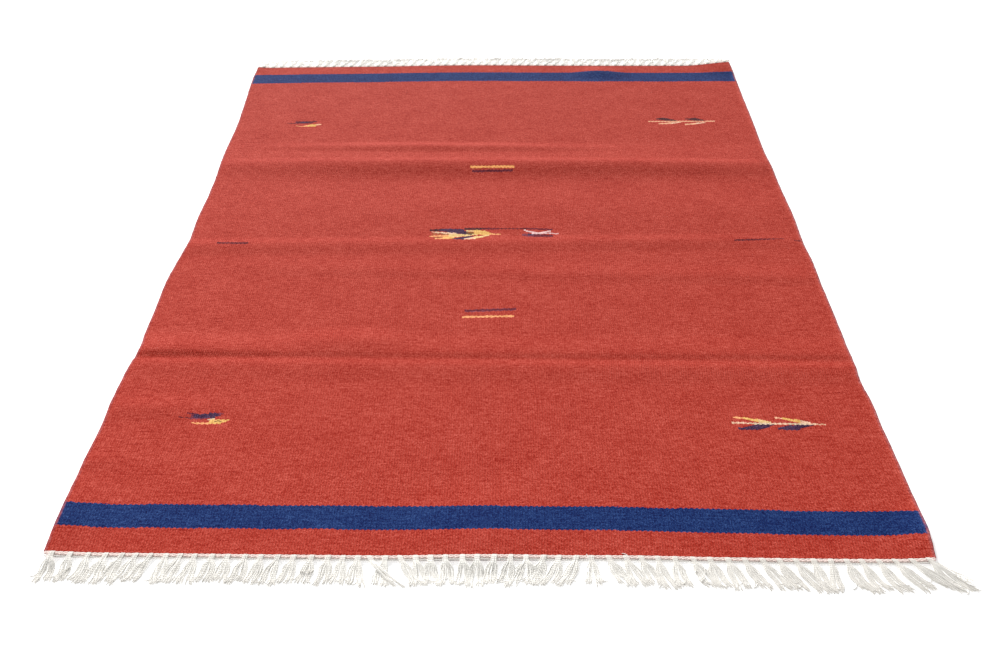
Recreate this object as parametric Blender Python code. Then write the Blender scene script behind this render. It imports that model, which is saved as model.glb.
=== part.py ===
"""Flat-woven kilim rug with knotted end fringes, lying on a floor as it was unfolded.

The rug is three pieces: the woven cloth, and at each end a twined header whose warp ends
are knotted into a fringe. Units are metres. +X runs across the rug, +Y along it from the
near end to the far end, and +Z is up. The underside lies on z = 0.
"""
import math
import random
from collections import namedtuple

import bmesh
import bpy
from mathutils import Vector

# ---- Driving dimensions ------------------------------------------------------------------
CLOTH_WIDTH = 1.400
CLOTH_LENGTH = 2.000
CLOTH_THICKNESS = 0.0035
HALF_WIDTH = CLOTH_WIDTH / 2
HALF_LENGTH = CLOTH_LENGTH / 2

PIECE_GAP = 0.0004            # between the cloth's end and the header twined onto it
HEADER_DEPTH = 0.0055         # along the rug
HEADER_HEIGHT = 0.0035

KNOTS_PER_END = 55
FIRST_KNOT = -0.684           # across the cloth
LAST_KNOT = 0.690
KNOT_WIDTH = 0.0080
KNOT_LENGTH = 0.0060
KNOT_SHIFT = 0.0016           # how far a knot sits off its even place, at most

LEAN_SPREAD = 0.0010          # how far a tassel's lean strays from its neighbours'
REACH_SPREAD = 0.0045         # how far a lock's reach strays from its neighbours'
SPLAY_LEAST = 0.0055          # how far a tassel's two locks part at the tips
SPLAY_MOST = 0.0090
BOW_MOST = 0.0020             # how far a lock bends sideways at its middle
SETTLE_SHARE = 0.6            # share of its reach over which a raised lock comes down
LOCK_TOP_SHARE = 0.6          # width of a lock's top against its foot

# ---- Tables ------------------------------------------------------------------------------
# How far each selvedge stands outside its straight line, at places along the rug.
Selvedge = namedtuple("Selvedge", "at left right")
SELVEDGES = (
    Selvedge(at=-1.00, left=-0.004, right=-0.005),
    Selvedge(at=-0.92, left=-0.002, right=0.001),
    Selvedge(at=-0.76, left=-0.001, right=0.000),
    Selvedge(at=-0.68, left=-0.003, right=-0.002),
    Selvedge(at=-0.62, left=-0.001, right=-0.001),
    Selvedge(at=-0.55, left=-0.002, right=-0.006),
    Selvedge(at=-0.50, left=-0.005, right=-0.003),
    Selvedge(at=-0.45, left=-0.010, right=-0.004),
    Selvedge(at=-0.40, left=-0.006, right=-0.003),
    Selvedge(at=-0.30, left=-0.004, right=-0.002),
    Selvedge(at=-0.21, left=-0.001, right=-0.002),
    Selvedge(at=-0.12, left=-0.005, right=0.000),
    Selvedge(at=-0.04, left=-0.011, right=-0.003),
    Selvedge(at=0.07, left=-0.007, right=0.000),
    Selvedge(at=0.18, left=-0.008, right=-0.001),
    Selvedge(at=0.31, left=-0.005, right=-0.002),
    Selvedge(at=0.42, left=0.000, right=-0.004),
    Selvedge(at=0.60, left=0.001, right=0.000),
    Selvedge(at=0.74, left=0.008, right=0.001),
    Selvedge(at=0.93, left=0.018, right=0.003),
    Selvedge(at=1.00, left=0.017, right=-0.001),
)

# How far each end stands outside its straight line, at places across the rug.
Hem = namedtuple("Hem", "at near far")
HEMS = (
    Hem(at=-0.70, near=-0.003, far=-0.025),
    Hem(at=-0.58, near=-0.002, far=-0.018),
    Hem(at=-0.33, near=0.000, far=-0.008),
    Hem(at=-0.10, near=0.001, far=0.004),
    Hem(at=0.20, near=-0.002, far=0.005),
    Hem(at=0.36, near=0.001, far=0.006),
    Hem(at=0.52, near=0.003, far=0.008),
    Hem(at=0.62, near=0.003, far=0.010),
    Hem(at=0.70, near=0.001, far=0.012),
)

# Low ridges that the packing folds left across the cloth: where the crest meets each
# selvedge, its rise at the left, middle and right, and the runs up to it and down from it.
Fold = namedtuple("Fold", "y_left y_right left middle right front back")
FOLDS = (
    Fold(y_left=0.337, y_right=0.346, left=0.0020, middle=0.0040, right=0.0026,
         front=0.066, back=0.036),
    Fold(y_left=0.337, y_right=0.346, left=0.0030, middle=0.0078, right=0.0044,
         front=0.098, back=0.140),
    Fold(y_left=0.102, y_right=0.112, left=0.0010, middle=0.0026, right=0.0024,
         front=0.180, back=0.130),
    Fold(y_left=-0.064, y_right=-0.026, left=0.0034, middle=0.0028, right=0.0014,
         front=0.050, back=0.036),
    Fold(y_left=-0.149, y_right=-0.185, left=0.0000, middle=0.0015, right=0.0018,
         front=0.040, back=0.056),
    Fold(y_left=-0.463, y_right=-0.466, left=0.0050, middle=0.0020, right=0.0020,
         front=0.022, back=0.070),
    Fold(y_left=-0.505, y_right=-0.511, left=0.0022, middle=0.0020, right=0.0023,
         front=0.060, back=0.026),
)

# Rounded places where the cloth stands off the floor.
Hump = namedtuple("Hump", "x y rise run_x run_y")
HUMPS = (
    Hump(x=-0.15, y=0.440, rise=0.0058, run_x=0.60, run_y=0.038),
    Hump(x=-0.29, y=-0.424, rise=0.0034, run_x=0.16, run_y=0.053),
    Hump(x=-0.02, y=-0.960, rise=0.0042, run_x=0.17, run_y=0.150),
    Hump(x=-0.72, y=-0.930, rise=0.0055, run_x=0.12, run_y=0.160),
    Hump(x=0.72, y=-0.950, rise=0.0070, run_x=0.09, run_y=0.090),
    Hump(x=0.72, y=1.030, rise=0.0130, run_x=0.16, run_y=0.120),
    Hump(x=0.30, y=0.950, rise=0.0070, run_x=0.10, run_y=0.055),
    Hump(x=-0.73, y=0.990, rise=0.0040, run_x=0.06, run_y=0.060),
    Hump(x=-0.62, y=-0.640, rise=0.0025, run_x=0.20, run_y=0.045),
    Hump(x=-0.70, y=-0.785, rise=0.0022, run_x=0.09, run_y=0.030),
)

# How each fringe lies: how far its knots stand to the right of their even places, how far the
# tips lie to the right of their knots, and how far out from them.
Sweep = namedtuple("Sweep", "at drift lean reach")
NEAR_SWEEP = (
    Sweep(at=-0.69, drift=-0.003, lean=-0.001, reach=0.046),
    Sweep(at=-0.60, drift=0.004, lean=-0.011, reach=0.048),
    Sweep(at=-0.54, drift=0.000, lean=-0.018, reach=0.047),
    Sweep(at=-0.45, drift=-0.007, lean=-0.006, reach=0.047),
    Sweep(at=-0.36, drift=-0.006, lean=-0.010, reach=0.047),
    Sweep(at=-0.24, drift=-0.003, lean=-0.006, reach=0.048),
    Sweep(at=-0.15, drift=-0.012, lean=0.010, reach=0.050),
    Sweep(at=-0.05, drift=-0.019, lean=0.001, reach=0.048),
    Sweep(at=0.01, drift=-0.022, lean=-0.009, reach=0.047),
    Sweep(at=0.12, drift=-0.022, lean=-0.017, reach=0.047),
    Sweep(at=0.18, drift=-0.021, lean=0.011, reach=0.049),
    Sweep(at=0.23, drift=-0.017, lean=0.021, reach=0.050),
    Sweep(at=0.30, drift=-0.016, lean=0.011, reach=0.052),
    Sweep(at=0.44, drift=-0.006, lean=0.028, reach=0.053),
    Sweep(at=0.53, drift=-0.003, lean=0.013, reach=0.054),
    Sweep(at=0.61, drift=-0.004, lean=0.028, reach=0.053),
    Sweep(at=0.69, drift=0.002, lean=0.031, reach=0.051),
)
FAR_SWEEP = (
    Sweep(at=-0.69, drift=0.000, lean=-0.004, reach=0.054),
    Sweep(at=-0.45, drift=0.003, lean=0.012, reach=0.055),
    Sweep(at=-0.20, drift=0.006, lean=0.006, reach=0.056),
    Sweep(at=0.05, drift=-0.004, lean=0.014, reach=0.055),
    Sweep(at=0.35, drift=0.004, lean=0.020, reach=0.055),
    Sweep(at=0.55, drift=-0.003, lean=0.016, reach=0.054),
    Sweep(at=0.69, drift=0.000, lean=0.004, reach=0.050),
)

# The two fringed ends, and which way each points along the rug.
FringeEnd = namedtuple("FringeEnd", "name way sweep seed")
FRINGE_ENDS = (
    FringeEnd(name="fringe_near", way=-1, sweep=NEAR_SWEEP, seed=3),
    FringeEnd(name="fringe_far", way=1, sweep=FAR_SWEEP, seed=8),
)

# A lock's section at shares of its reach from the knot.
LockRing = namedtuple("LockRing", "share width height")
LOCK_RINGS = (
    LockRing(share=0.34, width=0.0046, height=0.0028),
    LockRing(share=0.68, width=0.0048, height=0.0023),
    LockRing(share=1.00, width=0.0028, height=0.0013),
)

# The two woven bands, as places along the rug where each begins and ends.
Band = namedtuple("Band", "start end")
BANDS = (Band(start=-0.945, end=-0.892), Band(start=0.881, end=0.946))

# Rows and columns of the cloth's mesh: each stretch is cut evenly at about its pitch.
Stretch = namedtuple("Stretch", "start pitch")
CLOTH_ROWS = (
    Stretch(start=-HALF_LENGTH, pitch=0.028),
    Stretch(start=BANDS[0].start, pitch=0.0265),
    Stretch(start=BANDS[0].end, pitch=0.0535),
    Stretch(start=-0.570, pitch=0.018),
    Stretch(start=-0.535, pitch=0.0080),
    Stretch(start=-0.440, pitch=0.015),
    Stretch(start=-0.395, pitch=0.057),
    Stretch(start=-0.225, pitch=0.023),
    Stretch(start=-0.110, pitch=0.015),
    Stretch(start=0.010, pitch=0.058),
    Stretch(start=0.240, pitch=0.020),
    Stretch(start=0.300, pitch=0.0107),
    Stretch(start=0.385, pitch=0.017),
    Stretch(start=0.402, pitch=0.0095),
    Stretch(start=0.478, pitch=0.0585),
    Stretch(start=0.770, pitch=0.0383),
    Stretch(start=BANDS[1].start, pitch=0.0163),
    Stretch(start=BANDS[1].end, pitch=0.0167),
)
CLOTH_COLUMNS = (
    Stretch(start=-HALF_WIDTH, pitch=0.034),
    Stretch(start=-0.600, pitch=0.060),
    Stretch(start=-0.420, pitch=0.070),
    Stretch(start=0.210, pitch=0.060),
    Stretch(start=0.390, pitch=0.070),
    Stretch(start=0.600, pitch=0.034),
)

Finish = namedtuple("Finish", "name color roughness")
RED_WOOL = Finish(name="red_wool", color=(0.480, 0.070, 0.050, 1.0), roughness=0.92)
BLUE_WOOL = Finish(name="blue_wool", color=(0.020, 0.052, 0.190, 1.0), roughness=0.92)
COTTON = Finish(name="cotton", color=(0.800, 0.780, 0.710, 1.0), roughness=0.85)


# ---- Shape rules -------------------------------------------------------------------------
def clamp(value):
    """Keep a share between 0 and 1."""
    return max(0.0, min(1.0, value))


def ease(share):
    """Smooth step from 0 to 1."""
    share = clamp(share)
    return share * share * (3 - 2 * share)


def read_table(rows, column, at):
    """Value of a table's column at a place, on a smooth curve through its rows."""
    last = len(rows) - 1
    index = sum(row.at <= at for row in rows) - 1
    index = max(0, min(last - 1, index))

    def slope(row_index):
        before = rows[max(row_index - 1, 0)]
        after = rows[min(row_index + 1, last)]
        return (getattr(after, column) - getattr(before, column)) / (after.at - before.at)

    low, high = rows[index], rows[index + 1]
    span = high.at - low.at
    t = clamp((at - low.at) / span)
    from_low = (1 + 2 * t) * (1 - t) ** 2 * getattr(low, column)
    from_high = t * t * (3 - 2 * t) * getattr(high, column)
    bends = t * (1 - t) ** 2 * slope(index) - t * t * (1 - t) * slope(index + 1)
    return from_low + from_high + bends * span


def stations(stretches, end):
    """Places along one way of the cloth, with every stretch cut evenly."""
    places = []
    stops = [stretch.start for stretch in stretches[1:]] + [end]
    for stretch, stop in zip(stretches, stops):
        length = stop - stretch.start
        steps = max(1, round(length / stretch.pitch))
        places += [stretch.start + length * step / steps for step in range(steps)]
    return places + [end]


def cloth_place(across, along):
    """Floor place of a point of the cloth, from its place on a true rectangle."""
    left = -HALF_WIDTH - read_table(SELVEDGES, "left", along)
    right = HALF_WIDTH + read_table(SELVEDGES, "right", along)
    near = -HALF_LENGTH - read_table(HEMS, "near", across)
    far = HALF_LENGTH + read_table(HEMS, "far", across)
    x = left + (right - left) * (across + HALF_WIDTH) / CLOTH_WIDTH
    y = near + (far - near) * (along + HALF_LENGTH) / CLOTH_LENGTH
    return x, y


def fold_rise(fold, x, y):
    """Height that one packing fold gives the cloth's underside."""
    share = clamp((x + HALF_WIDTH) / CLOTH_WIDTH)
    crest = fold.y_left + (fold.y_right - fold.y_left) * share
    side = fold.left if share < 0.5 else fold.right
    rise = fold.middle + (side - fold.middle) * ease((2 * share - 1) ** 2)
    run = fold.front if y < crest else fold.back
    return rise * ease(1 - abs(y - crest) / run)


def hump_rise(hump, x, y):
    """Height that one rounded hump gives the cloth's underside."""
    reach = math.hypot((x - hump.x) / hump.run_x, (y - hump.y) / hump.run_y)
    return hump.rise * ease(1 - reach)


def cloth_rise(x, y):
    """Height of the cloth's underside over the floor."""
    folds = sum(fold_rise(fold, x, y) for fold in FOLDS)
    humps = sum(hump_rise(hump, x, y) for hump in HUMPS)
    return folds + humps


def hem_place(way, across, out):
    """Floor place at a distance out from one of the cloth's ends."""
    x, y = cloth_place(across, way * HALF_LENGTH)
    return x, y + way * out


def knot_places(sweep, draw):
    """Where an end's knots sit across the cloth, a little unevenly."""
    pitch = (LAST_KNOT - FIRST_KNOT) / (KNOTS_PER_END - 1)
    places = []
    for index in range(KNOTS_PER_END):
        even = FIRST_KNOT + pitch * index
        shift = draw.uniform(-KNOT_SHIFT, KNOT_SHIFT)
        places.append(even + read_table(sweep, "drift", even) + shift)
    return places


# ---- Cloth -------------------------------------------------------------------------------
def mark_bands(bm, rows):
    """Give the faces of the two woven bands the cloth's second material."""
    for face in bm.faces:
        row = int((face.calc_center_median().y + 1) / 2 * (len(rows) - 1))
        middle = (rows[row] + rows[row + 1]) / 2
        face.material_index = int(any(band.start < middle < band.end for band in BANDS))


def build_cloth():
    """The woven cloth: a grid laid in its outline, raised over its folds and thickened."""
    rows = stations(CLOTH_ROWS, HALF_LENGTH)
    columns = stations(CLOTH_COLUMNS, HALF_WIDTH)
    bm = bmesh.new()
    bmesh.ops.create_grid(bm, x_segments=len(columns) - 1, y_segments=len(rows) - 1, size=1.0)
    mark_bands(bm, rows)
    for vert in bm.verts:
        column = round((vert.co.x + 1) / 2 * (len(columns) - 1))
        row = round((vert.co.y + 1) / 2 * (len(rows) - 1))
        x, y = cloth_place(columns[column], rows[row])
        vert.co = (x, y, cloth_rise(x, y))
    upper = bmesh.ops.extrude_face_region(bm, geom=bm.faces[:], use_keep_orig=True)
    raised = [item for item in upper["geom"] if isinstance(item, bmesh.types.BMVert)]
    bmesh.ops.translate(bm, vec=(0, 0, CLOTH_THICKNESS), verts=raised)
    return bm


# ---- Fringe ------------------------------------------------------------------------------
def new_ring(bm, corners):
    """Vertices at a section's corners."""
    return [bm.verts.new(corner) for corner in corners]


def bridge(bm, first, second):
    """Join two sections of equal count with a wall."""
    for k in range(len(first)):
        after = (k + 1) % len(first)
        bm.faces.new((first[k], first[after], second[after], second[k]))


def header_ring(bm, way, across):
    """Section of the header: inner foot, inner top, outer top and outer foot."""
    inner = hem_place(way, across, PIECE_GAP)
    outer = hem_place(way, across, PIECE_GAP + HEADER_DEPTH)
    foot = cloth_rise(*hem_place(way, across, 0.0))
    top = foot + HEADER_HEIGHT
    return new_ring(bm, ((*inner, foot), (*inner, top), (*outer, top), (*outer, foot)))


def add_header(bm, way, places):
    """The header strip, left open where each knot grows out of its outer side.

    Returns the strip's sections to the left and right of each knot.
    """
    cuts = [-HALF_WIDTH]
    for place in places:
        cuts += [place - KNOT_WIDTH / 2, place + KNOT_WIDTH / 2]
    cuts.append(HALF_WIDTH)
    rings = [header_ring(bm, way, cut) for cut in cuts]
    for index, (first, second) in enumerate(zip(rings, rings[1:])):
        at_knot = index % 2 == 1
        for k in range(4):
            after = (k + 1) % 4
            if not (at_knot and k == 2):
                bm.faces.new((first[k], first[after], second[after], second[k]))
    bm.faces.new(rings[0])
    bm.faces.new(rings[-1])
    return list(zip(rings[1:-1:2], rings[2:-1:2]))


def add_knot(bm, way, place, lean, sides):
    """One knot, from the header's outer side to the two mouths that its locks leave by."""
    foot = cloth_rise(*hem_place(way, place, 0.0))
    x, y = hem_place(way, place, PIECE_GAP + HEADER_DEPTH + KNOT_LENGTH)
    x += lean * KNOT_LENGTH
    half = KNOT_WIDTH / 2
    over = new_ring(bm, [(x + step, y, foot + HEADER_HEIGHT) for step in (-half, 0, half)])
    under = new_ring(bm, [(x + step, y, foot) for step in (-half, 0, half)])
    left, right = sides
    bm.faces.new((left[2], over[0], over[1], over[2], right[2]))
    bm.faces.new((left[3], under[0], under[1], under[2], right[3]))
    bm.faces.new((left[2], left[3], under[0], over[0]))
    bm.faces.new((right[2], right[3], under[2], over[2]))
    left_mouth = [over[0], over[1], under[1], under[0]]
    right_mouth = [over[1], over[2], under[2], under[1]]
    return Vector((x, y, foot)), (left_mouth, right_mouth)


def lock_section(middle, side, width, height):
    """Corners of a lock's section: flat foot, narrower top."""
    foot = side * width / 2
    top = foot * LOCK_TOP_SHARE
    lift = Vector((0, 0, height))
    return (middle - top + lift, middle + top + lift, middle + foot, middle - foot)


def add_lock(bm, way, root, mouth, hand, lean, reach, splay, bow):
    """One lock, lofted from its mouth in the knot to its tip on the floor.

    hand is -1 for the knot's left lock and 1 for its right one.
    """
    def centre(share):
        x = root.x + hand * (KNOT_WIDTH / 4 + splay / 2 * share)
        x += lean * share + bow * math.sin(math.pi * share)
        z = root.z * (1 - ease(share / SETTLE_SHARE))
        return Vector((x, root.y + way * reach * share, z))

    ring = mouth
    for section in LOCK_RINGS:
        step = centre(section.share) - centre(section.share - 0.1)
        side = Vector((step.y, -step.x, 0)).normalized() * way
        corners = lock_section(centre(section.share), side, section.width, section.height)
        following = new_ring(bm, corners)
        bridge(bm, ring, following)
        ring = following
    bm.faces.new(ring)


def build_fringe(fringe):
    """One end's header with its knots and locks, as a single closed body."""
    draw = random.Random(fringe.seed)
    places = knot_places(fringe.sweep, draw)
    bm = bmesh.new()
    sides_of_knots = add_header(bm, fringe.way, places)
    for place, sides in zip(places, sides_of_knots):
        lean = read_table(fringe.sweep, "lean", place) + draw.uniform(-LEAN_SPREAD, LEAN_SPREAD)
        mean_reach = read_table(fringe.sweep, "reach", place)
        slant = lean / mean_reach
        root, mouths = add_knot(bm, fringe.way, place, slant, sides)
        splay = draw.uniform(SPLAY_LEAST, SPLAY_MOST)
        bow = draw.uniform(-BOW_MOST, BOW_MOST)
        for hand, mouth in zip((-1, 1), mouths):
            reach = mean_reach + draw.uniform(-REACH_SPREAD, REACH_SPREAD)
            add_lock(bm, fringe.way, root, mouth, hand, slant * reach, reach, splay, bow)
    return bm


# ---- Assembly ----------------------------------------------------------------------------
def make_material(finish):
    """Plain wool or cotton."""
    material = bpy.data.materials.new(finish.name)
    material.use_nodes = True
    shader = material.node_tree.nodes["Principled BSDF"]
    shader.inputs["Base Color"].default_value = finish.color
    shader.inputs["Roughness"].default_value = finish.roughness
    shader.inputs["Metallic"].default_value = 0.0
    return material


def make_object(name, bm, finishes, collection, parent):
    """Turn a finished bmesh into a named object with its own materials."""
    bmesh.ops.recalc_face_normals(bm, faces=bm.faces)
    mesh = bpy.data.meshes.new(name)
    bm.to_mesh(mesh)
    bm.free()
    for finish in finishes:
        mesh.materials.append(make_material(finish))
    piece = bpy.data.objects.new(name, mesh)
    piece.parent = parent
    collection.objects.link(piece)
    return piece


def centre_on_floor(carrier, pieces):
    """Move the carrier so that the rug's box stands on the middle of the floor."""
    corners = [vert.co for piece in pieces for vert in piece.data.vertices]
    for axis in (0, 1):
        low = min(corner[axis] for corner in corners)
        high = max(corner[axis] for corner in corners)
        carrier.location[axis] = -(low + high) / 2


def main():
    """Clear the scene and build the rug."""
    for old in list(bpy.data.objects):
        bpy.data.objects.remove(old, do_unlink=True)
    collection = bpy.data.collections.new("kilim_rug")
    bpy.context.scene.collection.children.link(collection)
    carrier = bpy.data.objects.new("rug_centre", None)
    collection.objects.link(carrier)

    cloth = make_object("woven_field", build_cloth(), (RED_WOOL, BLUE_WOOL), collection, carrier)
    pieces = [cloth]
    for fringe in FRINGE_ENDS:
        bm = build_fringe(fringe)
        pieces.append(make_object(fringe.name, bm, (COTTON,), collection, carrier))
    centre_on_floor(carrier, pieces)


main()
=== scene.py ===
"""Looks of the kilim rug: its woven cloth, its twined and knotted ends, and the light on them.

Units are metres, apart from the motif charts, which are in millimetres and say so. +X runs
across the rug, +Y along it from the near end to the far end, and +Z is up.
"""
import logging
import math
import random
from dataclasses import dataclass, field
from enum import Enum
from typing import Mapping, NamedTuple, Sequence, Union

import bpy
import numpy as np
from mathutils import Matrix, Vector


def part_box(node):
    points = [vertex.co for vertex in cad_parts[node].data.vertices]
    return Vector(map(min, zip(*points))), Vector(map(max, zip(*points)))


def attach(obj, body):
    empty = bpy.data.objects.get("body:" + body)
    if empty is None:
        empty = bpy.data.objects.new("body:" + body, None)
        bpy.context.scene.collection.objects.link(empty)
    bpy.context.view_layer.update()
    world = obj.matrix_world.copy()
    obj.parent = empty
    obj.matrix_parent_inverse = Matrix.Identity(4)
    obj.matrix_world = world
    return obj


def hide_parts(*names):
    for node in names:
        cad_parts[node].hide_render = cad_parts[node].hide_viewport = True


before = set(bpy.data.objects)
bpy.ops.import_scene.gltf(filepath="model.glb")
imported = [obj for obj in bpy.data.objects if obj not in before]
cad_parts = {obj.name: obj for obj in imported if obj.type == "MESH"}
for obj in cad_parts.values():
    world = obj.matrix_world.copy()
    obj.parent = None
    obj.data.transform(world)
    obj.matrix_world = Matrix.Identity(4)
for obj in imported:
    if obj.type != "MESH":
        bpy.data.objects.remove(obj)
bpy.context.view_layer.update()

LOG = logging.getLogger("kilim_rug")
BODY = "root"
MM = 0.001
FLAT_MAP = "flat_place"         # UV map that holds each point's place on the flat cloth or yarn
TONE = "yarn_tone"              # attribute that holds how dark each point is: random tone and painted shade on the yarns, and how much of its glow the floor lacks
SMOOTH_ANGLE = math.radians(50)

Color = tuple[float, float, float]


# ---- Shader arithmetic -------------------------------------------------------------------
class Term:
    """A number in a shader, on which Python's own signs work."""

    def __init__(self, pad: "Pad", socket: bpy.types.NodeSocket) -> None:
        """Wrap one output socket of a pad's tree."""
        self.pad = pad
        self.socket = socket

    def __add__(self, other: "Value") -> "Term":
        """self + other."""
        return self.pad.math("ADD", self, other)

    def __radd__(self, other: "Value") -> "Term":
        """other + self."""
        return self.pad.math("ADD", other, self)

    def __sub__(self, other: "Value") -> "Term":
        """self - other."""
        return self.pad.math("SUBTRACT", self, other)

    def __rsub__(self, other: "Value") -> "Term":
        """other - self."""
        return self.pad.math("SUBTRACT", other, self)

    def __mul__(self, other: "Value") -> "Term":
        """self * other."""
        return self.pad.math("MULTIPLY", self, other)

    def __rmul__(self, other: "Value") -> "Term":
        """other * self."""
        return self.pad.math("MULTIPLY", other, self)

    def __truediv__(self, other: "Value") -> "Term":
        """self / other."""
        return self.pad.math("DIVIDE", self, other)

    def __rtruediv__(self, other: "Value") -> "Term":
        """other / self."""
        return self.pad.math("DIVIDE", other, self)


Value = Union[Term, float]


class Grain(NamedTuple):
    """A layer of noise: its lumps to a metre each way, how strong it is and how detailed."""

    across: float
    along: float
    share: float = 1.0
    detail: float = 0.0
    layer: float = 0.0


class Pad:
    """The node tree of one material, filled by calls."""

    def __init__(self, name: str) -> None:
        """Start an empty material.

        Args:
            name: the material's name.
        """
        self.material = bpy.data.materials.new(name)
        self.material.use_nodes = True
        self.nodes = self.material.node_tree.nodes
        self.links = self.material.node_tree.links
        self.nodes.clear()

    def add(self, kind: str, settings: Mapping[str, object],
            sockets: Mapping[Union[str, int], object]) -> bpy.types.Node:
        """Make a node.

        Args:
            kind: the node's type.
            settings: its own settings, set first.
            sockets: a value, Term or output socket for each input.

        Returns:
            The node.
        """
        node = self.nodes.new(kind)
        for key, value in settings.items():
            setattr(node, key, value)
        for key, value in sockets.items():
            if isinstance(value, Term):
                self.links.new(value.socket, node.inputs[key])
            elif isinstance(value, bpy.types.NodeSocket):
                self.links.new(value, node.inputs[key])
            else:
                node.inputs[key].default_value = value
        return node

    def math(self, operation: str, *values: Value) -> Term:
        """One step of arithmetic.

        Args:
            operation: the Math node's operation.
            values: its inputs, in order.

        Returns:
            The result.
        """
        node = self.add("ShaderNodeMath", {"operation": operation}, dict(enumerate(values)))
        return Term(self, node.outputs[0])

    def limit(self, value: Term) -> Term:
        """Keep a number between 0 and 1."""
        return self.math("MINIMUM", self.math("MAXIMUM", value, 0.0), 1.0)

    def near(self, value: Value, middle: Value, reach: Value) -> Term:
        """1 where a number lies within a reach of another, and 0 elsewhere."""
        return self.math("COMPARE", value, middle, reach)

    def vector(self, operation: str, *vectors: object) -> bpy.types.NodeSocket:
        """One step of vector arithmetic.

        Args:
            operation: the Vector Math node's operation.
            vectors: its inputs, in order.

        Returns:
            The resulting vector.
        """
        node = self.add("ShaderNodeVectorMath", {"operation": operation}, dict(enumerate(vectors)))
        return node.outputs[0]

    def mix(self, share: Value, first: object, second: object) -> bpy.types.NodeSocket:
        """Blend two colours.

        Args:
            share: how much of the second shows.
            first: a colour, or a socket that gives one.
            second: the same.

        Returns:
            The blended colour.
        """
        ends = {6: first, 7: second}
        sockets = {key: (*end, 1.0) if isinstance(end, tuple) else end for key, end in ends.items()}
        node = self.add("ShaderNodeMix", {"data_type": "RGBA"}, {0: share, **sockets})
        return node.outputs[2]

    def place(self, x: Value, y: Value, z: Value = 0.0) -> bpy.types.NodeSocket:
        """A point from its three numbers."""
        return self.add("ShaderNodeCombineXYZ", {}, {0: x, 1: y, 2: z}).outputs[0]

    def noise(self, grain: Grain, across: Term, along: Term) -> Term:
        """Smooth noise about zero.

        Args:
            grain: how fine and how strong it is.
            across: place across the cloth, or around the yarn.
            along: place along it.

        Returns:
            The noise, mostly within 0.35 of zero before its share.
        """
        place = self.place(across * grain.across, along * grain.along, grain.layer)
        sockets = {"Vector": place, "Scale": 1.0, "Detail": grain.detail}
        node = self.add("ShaderNodeTexNoise", {"noise_dimensions": "3D"}, sockets)
        return (Term(self, node.outputs["Fac"]) - 0.5) * grain.share

    def speck(self, place: bpy.types.NodeSocket) -> Term:
        """A number about zero that differs at every place, within 0.5 of zero."""
        node = self.add("ShaderNodeTexWhiteNoise", {"noise_dimensions": "3D"}, {"Vector": place})
        return Term(self, node.outputs["Value"]) - 0.5

    def flat_place(self) -> tuple[Term, Term]:
        """A point's place on the flat cloth, or around and along a yarn.

        Returns:
            Its place across or around, and its place along.
        """
        layer = self.add("ShaderNodeUVMap", {"uv_map": FLAT_MAP}, {})
        parts = self.add("ShaderNodeSeparateXYZ", {}, {0: layer.outputs[0]})
        return Term(self, parts.outputs[0]), Term(self, parts.outputs[1])

    def tone(self) -> Term:
        """How dark this point is against the rest, from the mesh: random tone and painted shade on
        the yarns.
        """
        layer = self.add("ShaderNodeAttribute", {"attribute_name": TONE}, {})
        return Term(self, layer.outputs["Fac"])

    def finish(self, sockets: Mapping[str, object]) -> bpy.types.Material:
        """Close the material with one Principled shader.

        Args:
            sockets: values or links for the shader's inputs.

        Returns:
            The material.
        """
        shader = self.add("ShaderNodeBsdfPrincipled", {}, sockets)
        self.add("ShaderNodeOutputMaterial", {}, {"Surface": shader.outputs[0]})
        return self.material


# ---- Motif charts ------------------------------------------------------------------------
class Dye(Enum):
    """The dyed wools in the cloth, as the share of light that each gives back."""

    RED = (0.3920, 0.0400, 0.0245)
    NAVY = (0.0050, 0.0240, 0.1150)
    INK = (0.0520, 0.0190, 0.0540)
    BROWN = (0.0600, 0.0110, 0.0160)
    PURPLE = (0.1150, 0.0080, 0.0190)
    MAROON = (0.1200, 0.0080, 0.0130)
    OLIVE = (0.1900, 0.1000, 0.0250)
    TAN = (0.3200, 0.1200, 0.0420)
    CREAM = (0.7500, 0.4700, 0.3200)
    BONE = (0.6400, 0.4600, 0.3100)
    AMBER = (0.8700, 0.3900, 0.1200)
    ROSE = (0.7300, 0.4100, 0.2700)
    PEACH = (0.7400, 0.3700, 0.2200)
    YELLOW = (0.7000, 0.3980, 0.1150)
    PALE_YELLOW = (0.7000, 0.4650, 0.2000)
    ORANGE = (0.7800, 0.3350, 0.1380)
    LAVENDER = (0.7200, 0.4550, 0.4400)
    VIOLET = (0.1750, 0.0280, 0.0480)


class Stroke(NamedTuple):
    """One tapered run of a yarn in a motif, in millimetres from the motif's own corner."""

    x: float
    y: float
    reach: float
    rise: float
    start: float
    end: float
    dye: Dye


class Motif(NamedTuple):
    """A woven figure: where its corner lies on the flat cloth, in millimetres, and its strokes."""

    name: str
    x: float
    y: float
    strokes: tuple[Stroke, ...]


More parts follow.
